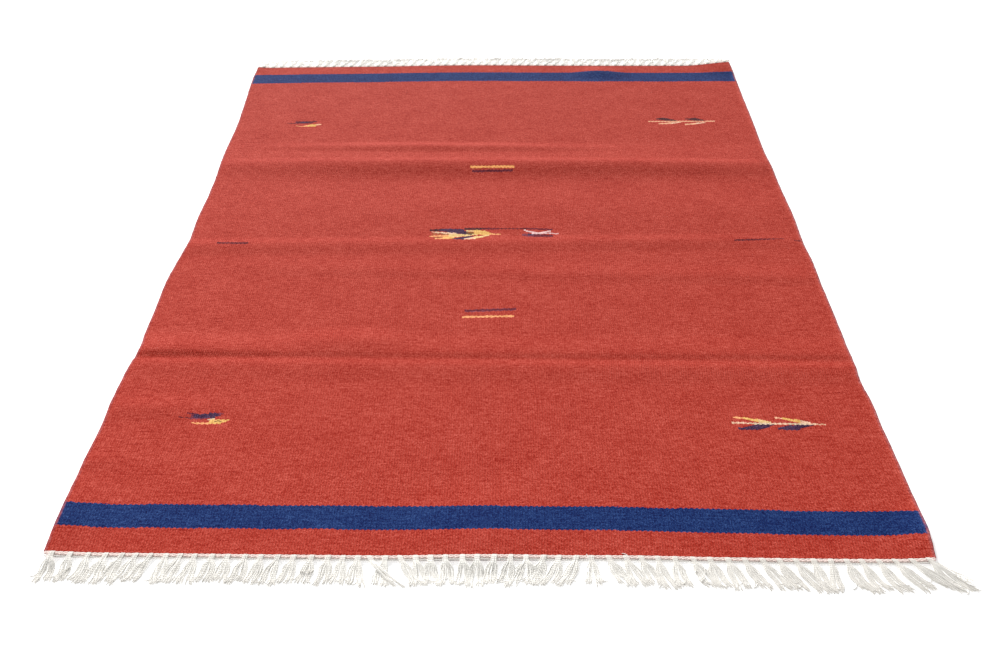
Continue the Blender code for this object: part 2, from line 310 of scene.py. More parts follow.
ARROW_NEAR = Motif("arrow_near", 434, -674.5, (
    Stroke(8, -15.5, 35, 5, 5, 15.5, Dye.INK),
    Stroke(43, -10.5, 31, 6.5, 15.5, 1.5, Dye.INK),
    Stroke(80, -14, 32, 4, 5, 15.5, Dye.INK),
    Stroke(112, -10, 33, 6.5, 15.5, 1.5, Dye.INK),
    Stroke(5, 17, 18, -3, 4, 6, Dye.ORANGE),
    Stroke(20, 14.6, 32, -8.6, 6, 9, Dye.YELLOW),
    Stroke(50, 6.4, 22, -3.6, 8, 3, Dye.PALE_YELLOW),
    Stroke(80, 17, 18, -3.5, 4, 6, Dye.PEACH),
    Stroke(93, 14.4, 32, -8.6, 6, 9, Dye.YELLOW),
    Stroke(123, 6.2, 20, -3.4, 8, 3, Dye.CREAM),
    Stroke(0, 0.8, 150, -1.6, 4.4, 4.4, Dye.CREAM),
    Stroke(32, 0.5, 40, -0.4, 4.4, 4.4, Dye.BONE),
    Stroke(102, -0.3, 36, -0.4, 4.4, 4.4, Dye.BONE),
    Stroke(150, -1.0, 17, -0.8, 5, 2, Dye.ROSE),
))
ARROW_FAR = Motif("arrow_far", 416, 604, (
    Stroke(20, 15.5, 26, -0.5, 5, 20, Dye.BROWN),
    Stroke(46, 15, 33, -9.5, 20, 3, Dye.BROWN),
    Stroke(102, 15.5, 28, -1, 5, 19, Dye.BROWN),
    Stroke(130, 14.5, 24, -8, 19, 3, Dye.BROWN),
    Stroke(24, -15, 38, 5, 6, 10, Dye.PEACH),
    Stroke(62, -10, 28, 5, 10, 3, Dye.CREAM),
    Stroke(98, -19, 29, 6.5, 6, 10, Dye.PEACH),
    Stroke(127, -12.5, 29, 6.5, 10, 3, Dye.CREAM),
    Stroke(0, 0, 183, 1.9, 5.4, 5, Dye.PEACH),
))
BIRD_NEAR = Motif("bird_near", -570, -665, (
    Stroke(0, 0, 26, -1.5, 2.2, 3, Dye.MAROON),
    Stroke(16, 11, 12, -1.5, 1.5, 5, Dye.PURPLE),
    Stroke(23, 3.2, 27, -2.4, 15, 12, Dye.VIOLET),
    Stroke(28, 3.6, 28, 0.2, 10, 12, Dye.INK),
    Stroke(56, 4.6, 10, 1.2, 15, 17, Dye.INK),
    Stroke(66, 6, 10, 2.5, 16, 6, Dye.INK),
    Stroke(74, 9, 8, 2, 7, 2, Dye.VIOLET),
    Stroke(30, -15.6, 19, -1.4, 3.5, 4.5, Dye.ORANGE),
    Stroke(49, -17, 12, -0.2, 4.5, 6, Dye.ORANGE),
    Stroke(53, -5.5, 17, 0.5, 3, 4.5, Dye.BONE),
    Stroke(59, -11.5, 21, 0.5, 12, 12, Dye.YELLOW),
    Stroke(80, -11, 14, 4.7, 11, 2, Dye.YELLOW),
    Stroke(67, -10.7, 14, 0.7, 3, 3, Dye.OLIVE),
))
BIRD_FAR = Motif("bird_far", -569, 600.5, (
    Stroke(0, 0, 25, -1.5, 3.5, 5, Dye.MAROON),
    Stroke(25, 5, 43, -1, 15, 16, Dye.PURPLE),
    Stroke(68, 7, 11, 2.5, 13, 6, Dye.PURPLE),
    Stroke(36, 5, 24, -0.8, 7, 7, Dye.INK),
    Stroke(26, -18.5, 19, -3, 3, 4, Dye.ORANGE),
    Stroke(45, -21, 13, 3, 4, 10, Dye.ORANGE),
    Stroke(57, -16.5, 25, 1.5, 12, 14, Dye.YELLOW),
    Stroke(82, -10.5, 13, 1.5, 9, 4, Dye.PEACH),
))
ARROW_AND_MOTH = Motif("arrow_and_moth", -156, 0, (
    Stroke(0, 8, 42, 0.8, 7, 14, Dye.BROWN),
    Stroke(22, 9, 20, -0.2, 6, 12, Dye.INK),
    Stroke(42, 8, 38, -7, 14, 24, Dye.INK),
    Stroke(80, -0.5, 26, -12.5, 17, 3, Dye.INK),
    Stroke(84, -3, 26, -4, 4, 9, Dye.OLIVE),
    Stroke(56, -31, 24, 3, 4, 16, Dye.INK),
    Stroke(80, -28, 24, 10, 16, 3, Dye.INK),
    Stroke(80, 13.6, 46, 0.6, 9, 8, Dye.BROWN),
    Stroke(126, 14.2, 38, 0.4, 8, 5, Dye.PURPLE),
    Stroke(164, 14.2, 58, 1.4, 5, 5, Dye.MAROON),
    Stroke(222, 15.6, 64, -4.2, 6, 6, Dye.PURPLE),
    Stroke(6, -8, 50, -1, 4, 6, Dye.TAN),
    Stroke(5, 1, 60, -8.5, 4, 8, Dye.CREAM),
    Stroke(0, -18, 60, 2.5, 4, 10, Dye.ORANGE),
    Stroke(10, -24.5, 44, 1, 4, 5, Dye.TAN),
    Stroke(13, -31, 38, 2.5, 4, 8, Dye.ORANGE),
    Stroke(34, -25, 24, 3, 9, 15, Dye.YELLOW),
    Stroke(44, -15.5, 22, 1.0, 11, 15, Dye.PALE_YELLOW),
    Stroke(66, -15, 39, 1.5, 15, 2, Dye.PALE_YELLOW),
    Stroke(81, -33, 26, 6.5, 3, 14, Dye.CREAM),
    Stroke(104, -26.5, 36, 13, 13, 5, Dye.PALE_YELLOW),
    Stroke(86, 5.5, 27, -2.5, 4, 11, Dye.PALE_YELLOW),
    Stroke(100, -10, 14, 1, 4, 12, Dye.PALE_YELLOW),
    Stroke(106, 0.5, 24, -5, 19, 20, Dye.YELLOW),
    Stroke(130, -3.5, 14, -5, 17, 7, Dye.YELLOW),
    Stroke(140, -9, 26, -1.2, 6.5, 3, Dye.ORANGE),
    Stroke(214, -11, 30, -6, 10, 13, Dye.VIOLET),
    Stroke(228, -11, 22, -1, 7, 9, Dye.INK),
    Stroke(242, -15.5, 46, -1.5, 15, 10, Dye.PURPLE),
    Stroke(219, 8.8, 33, -14, 5.5, 8.5, Dye.LAVENDER),
    Stroke(250, -5.2, 32, 11.5, 8, 5, Dye.LAVENDER),
    Stroke(238, -5.4, 44, 0.5, 5.5, 4.5, Dye.LAVENDER),
    Stroke(280, -5.2, 18, -1.5, 4, 2.5, Dye.LAVENDER),
))
BARS_NEAR = Motif("bars_near", -62, -345, (
    Stroke(0, 24.5, 107, 6.5, 9, 9, Dye.VIOLET),
    Stroke(0, 25.5, 107, 6.5, 4, 4, Dye.PURPLE),
    Stroke(-2, 2.8, 107, 3.2, 6.6, 6.6, Dye.ORANGE),
))
BARS_FAR = Motif("bars_far", -64, 293, (
    Stroke(4, 1, 103, 3.6, 9, 9, Dye.PURPLE),
    Stroke(-2, 18, 110, 2, 8.6, 8.6, Dye.AMBER),
))
DASH_LEFT = Motif("dash_left", -636, -47.5, (
    Stroke(0, 1, 72, -1.5, 8.5, 8.5, Dye.MAROON),
))
DASH_RIGHT = Motif("dash_right", 545, -30.5, (
    Stroke(0, -2.8, 60, 3.8, 7.5, 6.5, Dye.MAROON),
    Stroke(60, 1, 34, 2.2, 6, 5, Dye.MAROON),
    Stroke(94, 3.2, 23, -0.6, 3, 3, Dye.MAROON),
    Stroke(139, -4.5, 18, -1.5, 4.5, 4.5, Dye.MAROON),
))
MOTIFS = (ARROW_NEAR, ARROW_FAR, BIRD_NEAR, BIRD_FAR, ARROW_AND_MOTH, BARS_NEAR, BARS_FAR,
          DASH_LEFT, DASH_RIGHT)


# ---- Finishes ----------------------------------------------------------------------------
class Band(NamedTuple):
    """A woven band's edge lines: where each crosses the middle, its tilt and its bend."""

    middle: float
    half: float
    tilt: float
    bend: float


@dataclass(frozen=True)
class WovenWool:
    """Weft-faced plain weave of heathered wool over cotton warps."""

    warp_pitch: float = 0.00445
    float_pitch: float = 0.0030     # two picks, one of which shows on each warp
    first_warp: float = -1.0        # where the warps are counted from, off the cloth's left
    first_row: float = -2.0         # and the rows of floats, off its near end
    bands: tuple[Band, ...] = (
        Band(middle=-0.9185, half=0.0270, tilt=-0.0044, bend=-0.0045),
        Band(middle=0.9138, half=0.0326, tilt=0.0, bend=0.0),
    )
    fleck_size: float = 0.0015      # length of one light or dark fleck along the weft
    fleck_step: float = 0.37        # how far one pick's flecks start past the last one's, in flecks
    fleck_layer: float = 7.0        # keeps their draws apart from the floats' own
    fleck_tone: float = 3.15        # how much one fleck's lightness strays from the next one's
    float_tone: float = 0.80        # and how much one float's does
    sway: Grain = Grain(across=5.0, along=7.0, share=0.004)     # how far the picks wander
    ragged: Grain = Grain(across=9.0, along=0.0, share=0.004)   # and the bands' edges
    fibre: Grain = Grain(across=420.0, along=640.0, share=1.10)
    streak: Grain = Grain(across=38.0, along=260.0, share=1.95)
    cloud: Grain = Grain(across=9.0, along=16.0, share=1.15, detail=1.0)
    line: Grain = Grain(across=15.0, along=250.0, layer=3.0)    # lines of uneven beating
    line_tone: float = -1.5
    line_sharp: float = 9.0         # how suddenly a line begins
    line_middle: float = 0.30       # how rare the lines are along the middle of the cloth
    line_edge: float = 0.22         # and how much less rare towards its selvedges
    selvedge_at: float = 0.6960     # from the middle to where the worn selvedge begins
    selvedge_wide: float = 0.0028
    selvedge_dye: Color = (0.320, 0.078, 0.080)
    worn: Grain = Grain(across=20.0, along=70.0, share=1.6)     # how unevenly it is worn
    worn_share: float = 0.7
    right_edge_light: float = 0.9          # painted light along the right selvedge, where its rounded edge falls into shade
    right_edge_light_run: float = 0.009         # how gradually it fades in
    swing: Color = (0.054, 0.055, 0.055)    # how far the tone shifts a dye, as the eye sees it
    eye: float = 2.2                # power that turns light given back into light seen
    roundness: float = 3.6          # how steeply each float falls away to its sides
    fibre_relief: float = 0.12      # height of the fibres against the floats'
    relief: float = 0.00055         # and of the floats, in metres
    bump: float = 0.8
    sheen: float = 0.03

    def material(self, name: str, motif: Union[Motif, None] = None) -> bpy.types.Material:
        """Weave the wool's material.

        Args:
            name: the material's name.
            motif: the figure that is woven into it, if any.

        Returns:
            The material.
        """
        pad = Pad(name)
        across, along = pad.flat_place()
        sway = pad.noise(self.sway, across, along)
        warps = (across - self.first_warp) / self.warp_pitch
        warp = pad.math("FLOOR", warps)
        odd = pad.math("FLOORED_MODULO", warp, 2.0) * 0.5
        rows = (along - self.first_row + sway) / self.float_pitch + odd
        row = pad.math("FLOOR", rows)
        cell_x = (warp + 0.5) * self.warp_pitch + self.first_warp
        cell_y = (row + 0.5 - odd) * self.float_pitch + self.first_row - sway

        dye = self.banded(pad, cell_x, cell_y)
        if motif is not None:
            for stroke in motif.strokes:
                dye = self.stroke(pad, motif, stroke, cell_x, cell_y, dye)
        outer = pad.math("ABSOLUTE", across)
        worn = pad.noise(self.worn, across, along) + self.worn_share
        loops = pad.limit((outer - self.selvedge_at) / self.selvedge_wide)
        dye = pad.mix(loops * pad.limit(worn), dye, self.selvedge_dye)

        pick = pad.math("FLOOR", rows * 2.0)
        flecks = (across - self.first_warp) / self.fleck_size + pick * self.fleck_step
        fleck_at = pad.place(pad.math("FLOOR", flecks), pick, self.fleck_layer)
        fleck = pad.speck(fleck_at) * self.fleck_tone
        cell = pad.speck(pad.place(warp, row)) * self.float_tone
        fibre = pad.noise(self.fibre, across, along)
        streak = pad.noise(self.streak, across, along)
        cloud = pad.noise(self.cloud, across, along)
        line = pad.noise(self.line, across, along) + outer * outer * self.line_edge
        line = pad.limit((line - self.line_middle) * self.line_sharp) * self.line_tone
        # Painted light on the last warps on the right, lifting the shade of the rounded selvedge.
        edge_light = pad.limit((across - self.selvedge_at) / self.right_edge_light_run + 1.0) * self.right_edge_light
        tone = fleck + cell + fibre + streak + cloud + line + edge_light
        seen = pad.add("ShaderNodeGamma", {}, {"Color": dye, "Gamma": 1 / self.eye}).outputs[0]
        toned = pad.vector("MULTIPLY_ADD", self.swing, pad.place(tone, tone, tone), seen)
        toned = pad.vector("MAXIMUM", toned, (0.0, 0.0, 0.0))
        heathered = pad.add("ShaderNodeGamma", {}, {"Color": toned, "Gamma": self.eye}).outputs[0]

        hump_x = pad.math("FRACT", warps) - 0.5
        hump_y = pad.math("FRACT", rows) - 0.5
        dome = 1.0 - hump_x * hump_x * self.roundness
        dome = dome * (1.0 - hump_y * hump_y * self.roundness)
        bump = pad.add("ShaderNodeBump", {}, {"Strength": self.bump, "Distance": self.relief,
                                              "Height": dome + fibre * self.fibre_relief})
        return pad.finish({
            "Base Color": heathered,
            "Roughness": 0.93,
            "Specular IOR Level": 0.06,
            "Sheen Weight": self.sheen,
            "Sheen Roughness": 0.45,
            "Sheen Tint": (1.0, 0.685, 0.62, 1.0),
            "Normal": bump.outputs[0],
        })

    def banded(self, pad: Pad, x: Term, y: Term) -> object:
        """The ground dye with the end bands in it.

        Args:
            pad: the material's tree.
            x: place across the cloth.
            y: place along it.

        Returns:
            The colour.
        """
        ragged = pad.noise(self.ragged, x, y)
        dye = Dye.RED.value
        for band in self.bands:
            line = x * band.tilt + x * x * band.bend + ragged + band.middle
            dye = pad.mix(pad.near(y, line, band.half), dye, Dye.NAVY.value)
        return dye

    @staticmethod
    def stroke(pad: Pad, motif: Motif, stroke: Stroke, x: Term, y: Term,
               under: object) -> bpy.types.NodeSocket:
        """Lay one stroke of a motif over what is woven so far.

        Args:
            pad: the material's tree.
            motif: the figure.
            stroke: its stroke.
            x: place across the cloth.
            y: place along it.
            under: the colour so far.

        Returns:
            The colour with the stroke in it.
        """
        left = (motif.x + stroke.x) * MM
        low = (motif.y + stroke.y) * MM
        half_reach = stroke.reach * MM / 2
        slope = stroke.rise / stroke.reach
        taper = (stroke.end - stroke.start) / 2 / stroke.reach
        line = pad.math("MULTIPLY_ADD", x, slope, low - left * slope)
        half = pad.math("MULTIPLY_ADD", x, taper, stroke.start * MM / 2 - left * taper)
        inside = pad.near(x, left + half_reach, half_reach) * pad.near(y, line, half)
        return pad.mix(inside, under, stroke.dye.value)


@dataclass(frozen=True)
class CottonYarn:
    """Off-white plied cotton."""

    color: Color = (0.900, 0.880, 0.830)
    # The colour that painted shade and darker tones take the cotton towards.
    shade: Color = (0.530, 0.495, 0.450)
    turn: float = 0.0042            # length of yarn for one turn of its plies
    plies: int = 2
    fuzz: Grain = Grain(across=5.0, along=900.0, detail=2.0)    # its loose fibres
    ply_shade: float = 0.08         # how much painted shade darkens the grooves between the plies
    fuzz_shade: float = 0.15
    tone_shade: float = 0.25
    fuzz_relief: float = 0.6
    relief: float = 0.00022
    bump: float = 0.5
    sheen: float = 0.75             # light that the loose fibres catch from behind

    def material(self, name: str) -> bpy.types.Material:
        """Spin the cotton's material.

        Args:
            name: the material's name.

        Returns:
            The material.
        """
        pad = Pad(name)
        around, along = pad.flat_place()
        turns = (around * float(self.plies) + along / self.turn) * math.tau
        ridge = pad.math("SINE", turns) * 0.5 + 0.5
        fuzz = pad.noise(self.fuzz, around, along)
        # Painted shade in the ply grooves, the fuzz's random tone, and the mesh's tone and painted
        # shade.
        darkening = (1.0 - ridge) * self.ply_shade + fuzz * self.fuzz_shade
        darkening = pad.limit(darkening + pad.tone() * self.tone_shade)
        color = pad.mix(darkening, self.color, self.shade)
        bump = pad.add("ShaderNodeBump", {}, {"Strength": self.bump, "Distance": self.relief,
                                              "Height": ridge + fuzz * self.fuzz_relief})
        return pad.finish({
            "Base Color": color,
            "Roughness": 0.9,
            "Specular IOR Level": 0.2,
            "Sheen Weight": self.sheen,
            "Sheen Roughness": 0.6,
            "Sheen Tint": (1.0, 0.97, 0.92, 1.0),
            "Normal": bump.outputs[0],
        })


@dataclass(frozen=True)
class PaleFloor:
    """A matt white floor, lit a little from below so that no shadow greys it."""

    color: Color = (0.92, 0.92, 0.92)
    glow: float = 0.40              # light from under it, as on a light table

    def material(self, name: str) -> bpy.types.Material:
        """Make the floor's material.

        Args:
            name: its name.

        Returns:
            The material.
        """
        pad = Pad(name)
        lit = 1.0 - pad.tone()
        return pad.finish({"Base Color": (*self.color, 1.0), "Roughness": 1.0,
                           "Specular IOR Level": 0.0, "Emission Strength": self.glow,
                           "Emission Color": pad.place(lit, lit, lit)})


# ---- The shape in which the rug lies -----------------------------------------------------
class Selvedge(NamedTuple):
    """How far each selvedge stands outside its straight line, at a place along the rug."""

    at: float
    left: float
    right: float


class Hem(NamedTuple):
    """How far each end stands outside its straight line, at a place across the rug."""

    at: float
    near: float
    far: float


class Fold(NamedTuple):
    """A low ridge across the cloth: its crest at each selvedge, its rises and its runs."""

    y_left: float
    y_right: float
    left: float
    middle: float
    right: float
    front: float
    back: float


class Hump(NamedTuple):
    """A rounded place where the cloth stands off the floor."""

    x: float
    y: float
    rise: float
    run_x: float
    run_y: float


def ease(share: np.ndarray) -> np.ndarray:
    """Smooth step from 0 to 1."""
    share = np.clip(share, 0.0, 1.0)
    return share * share * (3 - 2 * share)


def read_table(rows: Sequence[NamedTuple], column: str, at: np.ndarray) -> np.ndarray:
    """Read a table's column on a smooth curve through its rows.

    Args:
        rows: the table, in order of its "at" column.
        column: which column is read.
        at: the places.

    Returns:
        The column's value at each place.
    """
    stops = np.array([row.at for row in rows])
    values = np.array([getattr(row, column) for row in rows])
    last = len(rows) - 1
    before = np.maximum(np.arange(last + 1) - 1, 0)
    after = np.minimum(np.arange(last + 1) + 1, last)
    slopes = (values[after] - values[before]) / (stops[after] - stops[before])
    index = np.clip(np.searchsorted(stops, at, side="right") - 1, 0, last - 1)
    span = stops[index + 1] - stops[index]
    t = np.clip((at - stops[index]) / span, 0.0, 1.0)
    ends = (1 + 2 * t) * (1 - t) ** 2 * values[index] + t * t * (3 - 2 * t) * values[index + 1]
    bends = t * (1 - t) ** 2 * slopes[index] - t * t * (1 - t) * slopes[index + 1]
    return ends + bends * span


@dataclass(frozen=True)
class LaidCloth:
    """The woven cloth's outline and folds, as it lies on the floor."""

    width: float = 1.400
    length: float = 2.000
    thickness: float = 0.0035
    selvedges: tuple[Selvedge, ...] = (
        Selvedge(at=-1.00, left=-0.004, right=-0.005),
        Selvedge(at=-0.92, left=-0.002, right=0.001),
        Selvedge(at=-0.76, left=-0.001, right=0.000),
        Selvedge(at=-0.68, left=-0.003, right=-0.002),
        Selvedge(at=-0.62, left=-0.001, right=-0.001),
        Selvedge(at=-0.55, left=-0.002, right=-0.006),
        Selvedge(at=-0.50, left=-0.005, right=-0.003),
        Selvedge(at=-0.45, left=-0.010, right=-0.004),
        Selvedge(at=-0.40, left=-0.006, right=-0.003),
        Selvedge(at=-0.30, left=-0.004, right=-0.002),
        Selvedge(at=-0.21, left=-0.001, right=-0.002),
        Selvedge(at=-0.12, left=-0.005, right=0.000),
        Selvedge(at=-0.04, left=-0.011, right=-0.003),
        Selvedge(at=0.07, left=-0.007, right=0.000),
        Selvedge(at=0.18, left=-0.008, right=-0.001),
        Selvedge(at=0.31, left=-0.005, right=-0.002),
        Selvedge(at=0.42, left=0.000, right=-0.004),
        Selvedge(at=0.60, left=0.001, right=0.000),
        Selvedge(at=0.74, left=0.008, right=0.001),
        Selvedge(at=0.93, left=0.018, right=0.003),
        Selvedge(at=1.00, left=0.017, right=-0.001),
    )
    hems: tuple[Hem, ...] = (
        Hem(at=-0.70, near=-0.003, far=-0.025),
        Hem(at=-0.58, near=-0.002, far=-0.018),
        Hem(at=-0.33, near=0.000, far=-0.008),
        Hem(at=-0.10, near=0.001, far=0.004),
        Hem(at=0.20, near=-0.002, far=0.005),
        Hem(at=0.36, near=0.001, far=0.006),
        Hem(at=0.52, near=0.003, far=0.008),
        Hem(at=0.62, near=0.003, far=0.010),
        Hem(at=0.70, near=0.001, far=0.012),
    )
    folds: tuple[Fold, ...] = (
        Fold(0.337, 0.346, 0.0020, 0.0040, 0.0026, 0.066, 0.036),
        Fold(0.337, 0.346, 0.0030, 0.0078, 0.0044, 0.098, 0.140),
        Fold(0.102, 0.112, 0.0010, 0.0026, 0.0024, 0.180, 0.130),
        Fold(-0.064, -0.026, 0.0034, 0.0028, 0.0014, 0.050, 0.036),
        Fold(-0.149, -0.185, 0.0000, 0.0015, 0.0018, 0.040, 0.056),
        Fold(-0.463, -0.466, 0.0050, 0.0020, 0.0020, 0.022, 0.070),
        Fold(-0.505, -0.511, 0.0022, 0.0020, 0.0023, 0.060, 0.026),
    )
    humps: tuple[Hump, ...] = (
        Hump(x=-0.15, y=0.440, rise=0.0058, run_x=0.60, run_y=0.038),
        Hump(x=-0.29, y=-0.424, rise=0.0034, run_x=0.16, run_y=0.053),
        Hump(x=-0.02, y=-0.960, rise=0.0042, run_x=0.17, run_y=0.150),
        Hump(x=-0.72, y=-0.930, rise=0.0055, run_x=0.12, run_y=0.160),
        Hump(x=0.72, y=-0.950, rise=0.0070, run_x=0.09, run_y=0.090),
        Hump(x=0.72, y=1.030, rise=0.0130, run_x=0.16, run_y=0.120),
        Hump(x=0.30, y=0.950, rise=0.0070, run_x=0.10, run_y=0.055),
        Hump(x=-0.73, y=0.990, rise=0.0040, run_x=0.06, run_y=0.060),
        Hump(x=-0.62, y=-0.640, rise=0.0025, run_x=0.20, run_y=0.045),
        Hump(x=-0.70, y=-0.785, rise=0.0022, run_x=0.09, run_y=0.030),
    )
    edge_drop: float = 0.5          # how much of a fold's rise its last stretch loses
    edge_share: float = 0.955       # and where that stretch begins, from the middle to a selvedge
    box_steps: int = 801            # how finely its outline is read for its box
    node: str = "woven_field"

    def place(self, across: np.ndarray, along: np.ndarray) -> tuple[np.ndarray, np.ndarray]:
        """Floor place of points of the cloth, from their places on a true rectangle.

        Args:
            across: places across the flat cloth, from its middle.
            along: places along it.

        Returns:
            Their x and y, from the middle of the rug.
        """
        left = -self.width / 2 - read_table(self.selvedges, "left", along)
        right = self.width / 2 + read_table(self.selvedges, "right", along)
        near = -self.length / 2 - read_table(self.hems, "near", across)
        far = self.length / 2 + read_table(self.hems, "far", across)
        x = left + (right - left) * (across / self.width + 0.5)
        y = near + (far - near) * (along / self.length + 0.5)
        return x, y

    def rise(self, x: np.ndarray, y: np.ndarray) -> np.ndarray:
        """Height of the cloth's underside over the floor.

        Args:
            x: places across the rug.
            y: places along it.

        Returns:
            The heights.
        """
        share = np.clip(x / self.width + 0.5, 0.0, 1.0)
        outer = (np.abs(2 * share - 1) - self.edge_share) / (1 - self.edge_share)
        kept = 1 - self.edge_drop * ease(outer)
        total = np.zeros(np.broadcast(x, y).shape)
        for fold in self.folds:
            crest = fold.y_left + (fold.y_right - fold.y_left) * share
            side = np.where(share < 0.5, fold.left, fold.right)
            rise = fold.middle + (side - fold.middle) * ease((2 * share - 1) ** 2)
            run = np.where(y < crest, fold.front, fold.back)
            total = total + rise * kept * ease(1 - np.abs(y - crest) / run)
        for hump in self.humps:
            reach = np.hypot((x - hump.x) / hump.run_x, (y - hump.y) / hump.run_y)
            total = total + hump.rise * ease(1 - reach)
        return total

    def middle(self) -> Vector:
        """Where the middle of the rug stands in the frame, from the CAD cloth's box.

        Returns:
            The shift from this cloth's own place to the frame.
        """
        low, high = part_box(self.node)
        steps = np.linspace(-1.0, 1.0, self.box_steps)
        x_left, _ = self.place(np.full_like(steps, -self.width / 2), steps * self.length / 2)
        x_right, _ = self.place(np.full_like(steps, self.width / 2), steps * self.length / 2)
        _, y_near = self.place(steps * self.width / 2, np.full_like(steps, -self.length / 2))
        _, y_far = self.place(steps * self.width / 2, np.full_like(steps, self.length / 2))
        own_x = (x_left.min() + x_right.max()) / 2
        own_y = (y_near.min() + y_far.max()) / 2
        return Vector(((low[0] + high[0]) / 2 - own_x, (low[1] + high[1]) / 2 - own_y, 0.0))


# ---- Meshes ------------------------------------------------------------------------------
@dataclass
class MeshStock:
    """Points, faces and flat places, gathered for one joined mesh."""

    points: list[np.ndarray] = field(default_factory=list)
    faces: list[np.ndarray] = field(default_factory=list)
    places: list[np.ndarray] = field(default_factory=list)
    tones: list[np.ndarray] = field(default_factory=list)
    count: int = 0

    def add(self, points: np.ndarray, faces: np.ndarray, places: np.ndarray,
            tone: Union[float, np.ndarray] = 0.0) -> None:
        """Take in one closed or open piece.

        Args:
            points: its points, one a row.
            faces: its faces' four points, counted from 0.
            places: each face corner's flat place.
            tone: how dark it is against the rest, for all of it or for each point.
        """
        self.points.append(points)
        self.faces.append(faces + self.count)
        self.places.append(places.reshape(-1, 2))
        self.tones.append(np.broadcast_to(tone, len(points)))
        self.count += len(points)

    def make(self, name: str, middle: Vector, materials: Sequence[bpy.types.Material],
             slot: str) -> bpy.types.Object:
        """Join what was gathered into one object.

        Args:
            name: the piece's name.
            middle: where the middle of the rug stands.
            materials: its materials.
            slot: not used.

        Returns:
            The object, riding on the rug's body.
        """
        points = np.concatenate(self.points) + np.array(middle)
        faces = np.concatenate(self.faces)
        mesh = bpy.data.meshes.new(name)
        mesh.from_pydata(points.tolist(), [], faces.tolist())
        layer = mesh.uv_layers.new(name=FLAT_MAP)
        layer.uv.foreach_set("vector", np.concatenate(self.places).astype(np.float32).ravel())
        tone = mesh.attributes.new(TONE, "FLOAT", "POINT")
        tone.data.foreach_set("value", np.concatenate(self.tones).astype(np.float32))
        for material in materials:
            mesh.materials.append(material)
        mesh.shade_smooth()
        mesh.validate()
        piece = bpy.data.objects.new(name, mesh)
        bpy.context.scene.collection.objects.link(piece)
        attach(piece, BODY)
        LOG.info("%s: %d faces", name, len(faces))
        return piece


def tube(path: np.ndarray, radii: np.ndarray, sides: int,
         flatness: float = 1.0) -> tuple[np.ndarray, ...]:
    """A closed tube along a path that never stands upright.

    Args:
        path: the path's points.
        radii: the tube's radius at each of them.
        sides: how many sides it has.
        flatness: its height against its width.

    Returns:
        Its points, its faces, and each face corner's place around and along it.
    """
    steps = np.gradient(path, axis=0)
    steps /= np.linalg.norm(steps, axis=1, keepdims=True)
    across = np.cross(steps, (0.0, 0.0, 1.0))
    across /= np.linalg.norm(across, axis=1, keepdims=True)
    upward = np.cross(across, steps)
    angles = np.arange(sides) * math.tau / sides
    rings = (np.cos(angles)[None, :, None] * across[:, None, :]
             + flatness * np.sin(angles)[None, :, None] * upward[:, None, :])
    points = path[:, None, :] + radii[:, None, None] * rings
    count = len(path)
    ring, side = np.meshgrid(np.arange(count - 1), np.arange(sides), indexing="ij")
    after = (side + 1) % sides
    faces = np.stack([ring * sides + side, ring * sides + after,
                      (ring + 1) * sides + after, (ring + 1) * sides + side], axis=-1)
    run = np.concatenate([[0.0], np.cumsum(np.linalg.norm(np.diff(path, axis=0), axis=1))])
    around = np.stack([side, side + 1, side + 1, side], axis=-1) / sides
    along = run[np.stack([ring, ring, ring + 1, ring + 1], axis=-1)]
    places = np.stack([around, along], axis=-1)
    return points.reshape(-1, 3), faces.reshape(-1, 4), places.reshape(-1, 2)


# ---- Cloth -------------------------------------------------------------------------------
class Stretch(NamedTuple):
    """A stretch of rows or columns, cut evenly at about its pitch."""

    start: float
    pitch: float


def stations(stretches: Sequence[Stretch], end: float) -> np.ndarray:
    """Places along one way of the cloth.

    Args:
        stretches: its stretches, in order.
        end: where the last one ends.

    Returns:
        The places.
    """
    stops = [stretch.start for stretch in stretches[1:]] + [end]
    places = []
    for stretch, stop in zip(stretches, stops):
        steps = max(1, round((stop - stretch.start) / stretch.pitch))
        places.append(np.linspace(stretch.start, stop, steps, endpoint=False))
    return np.append(np.concatenate(places), end)


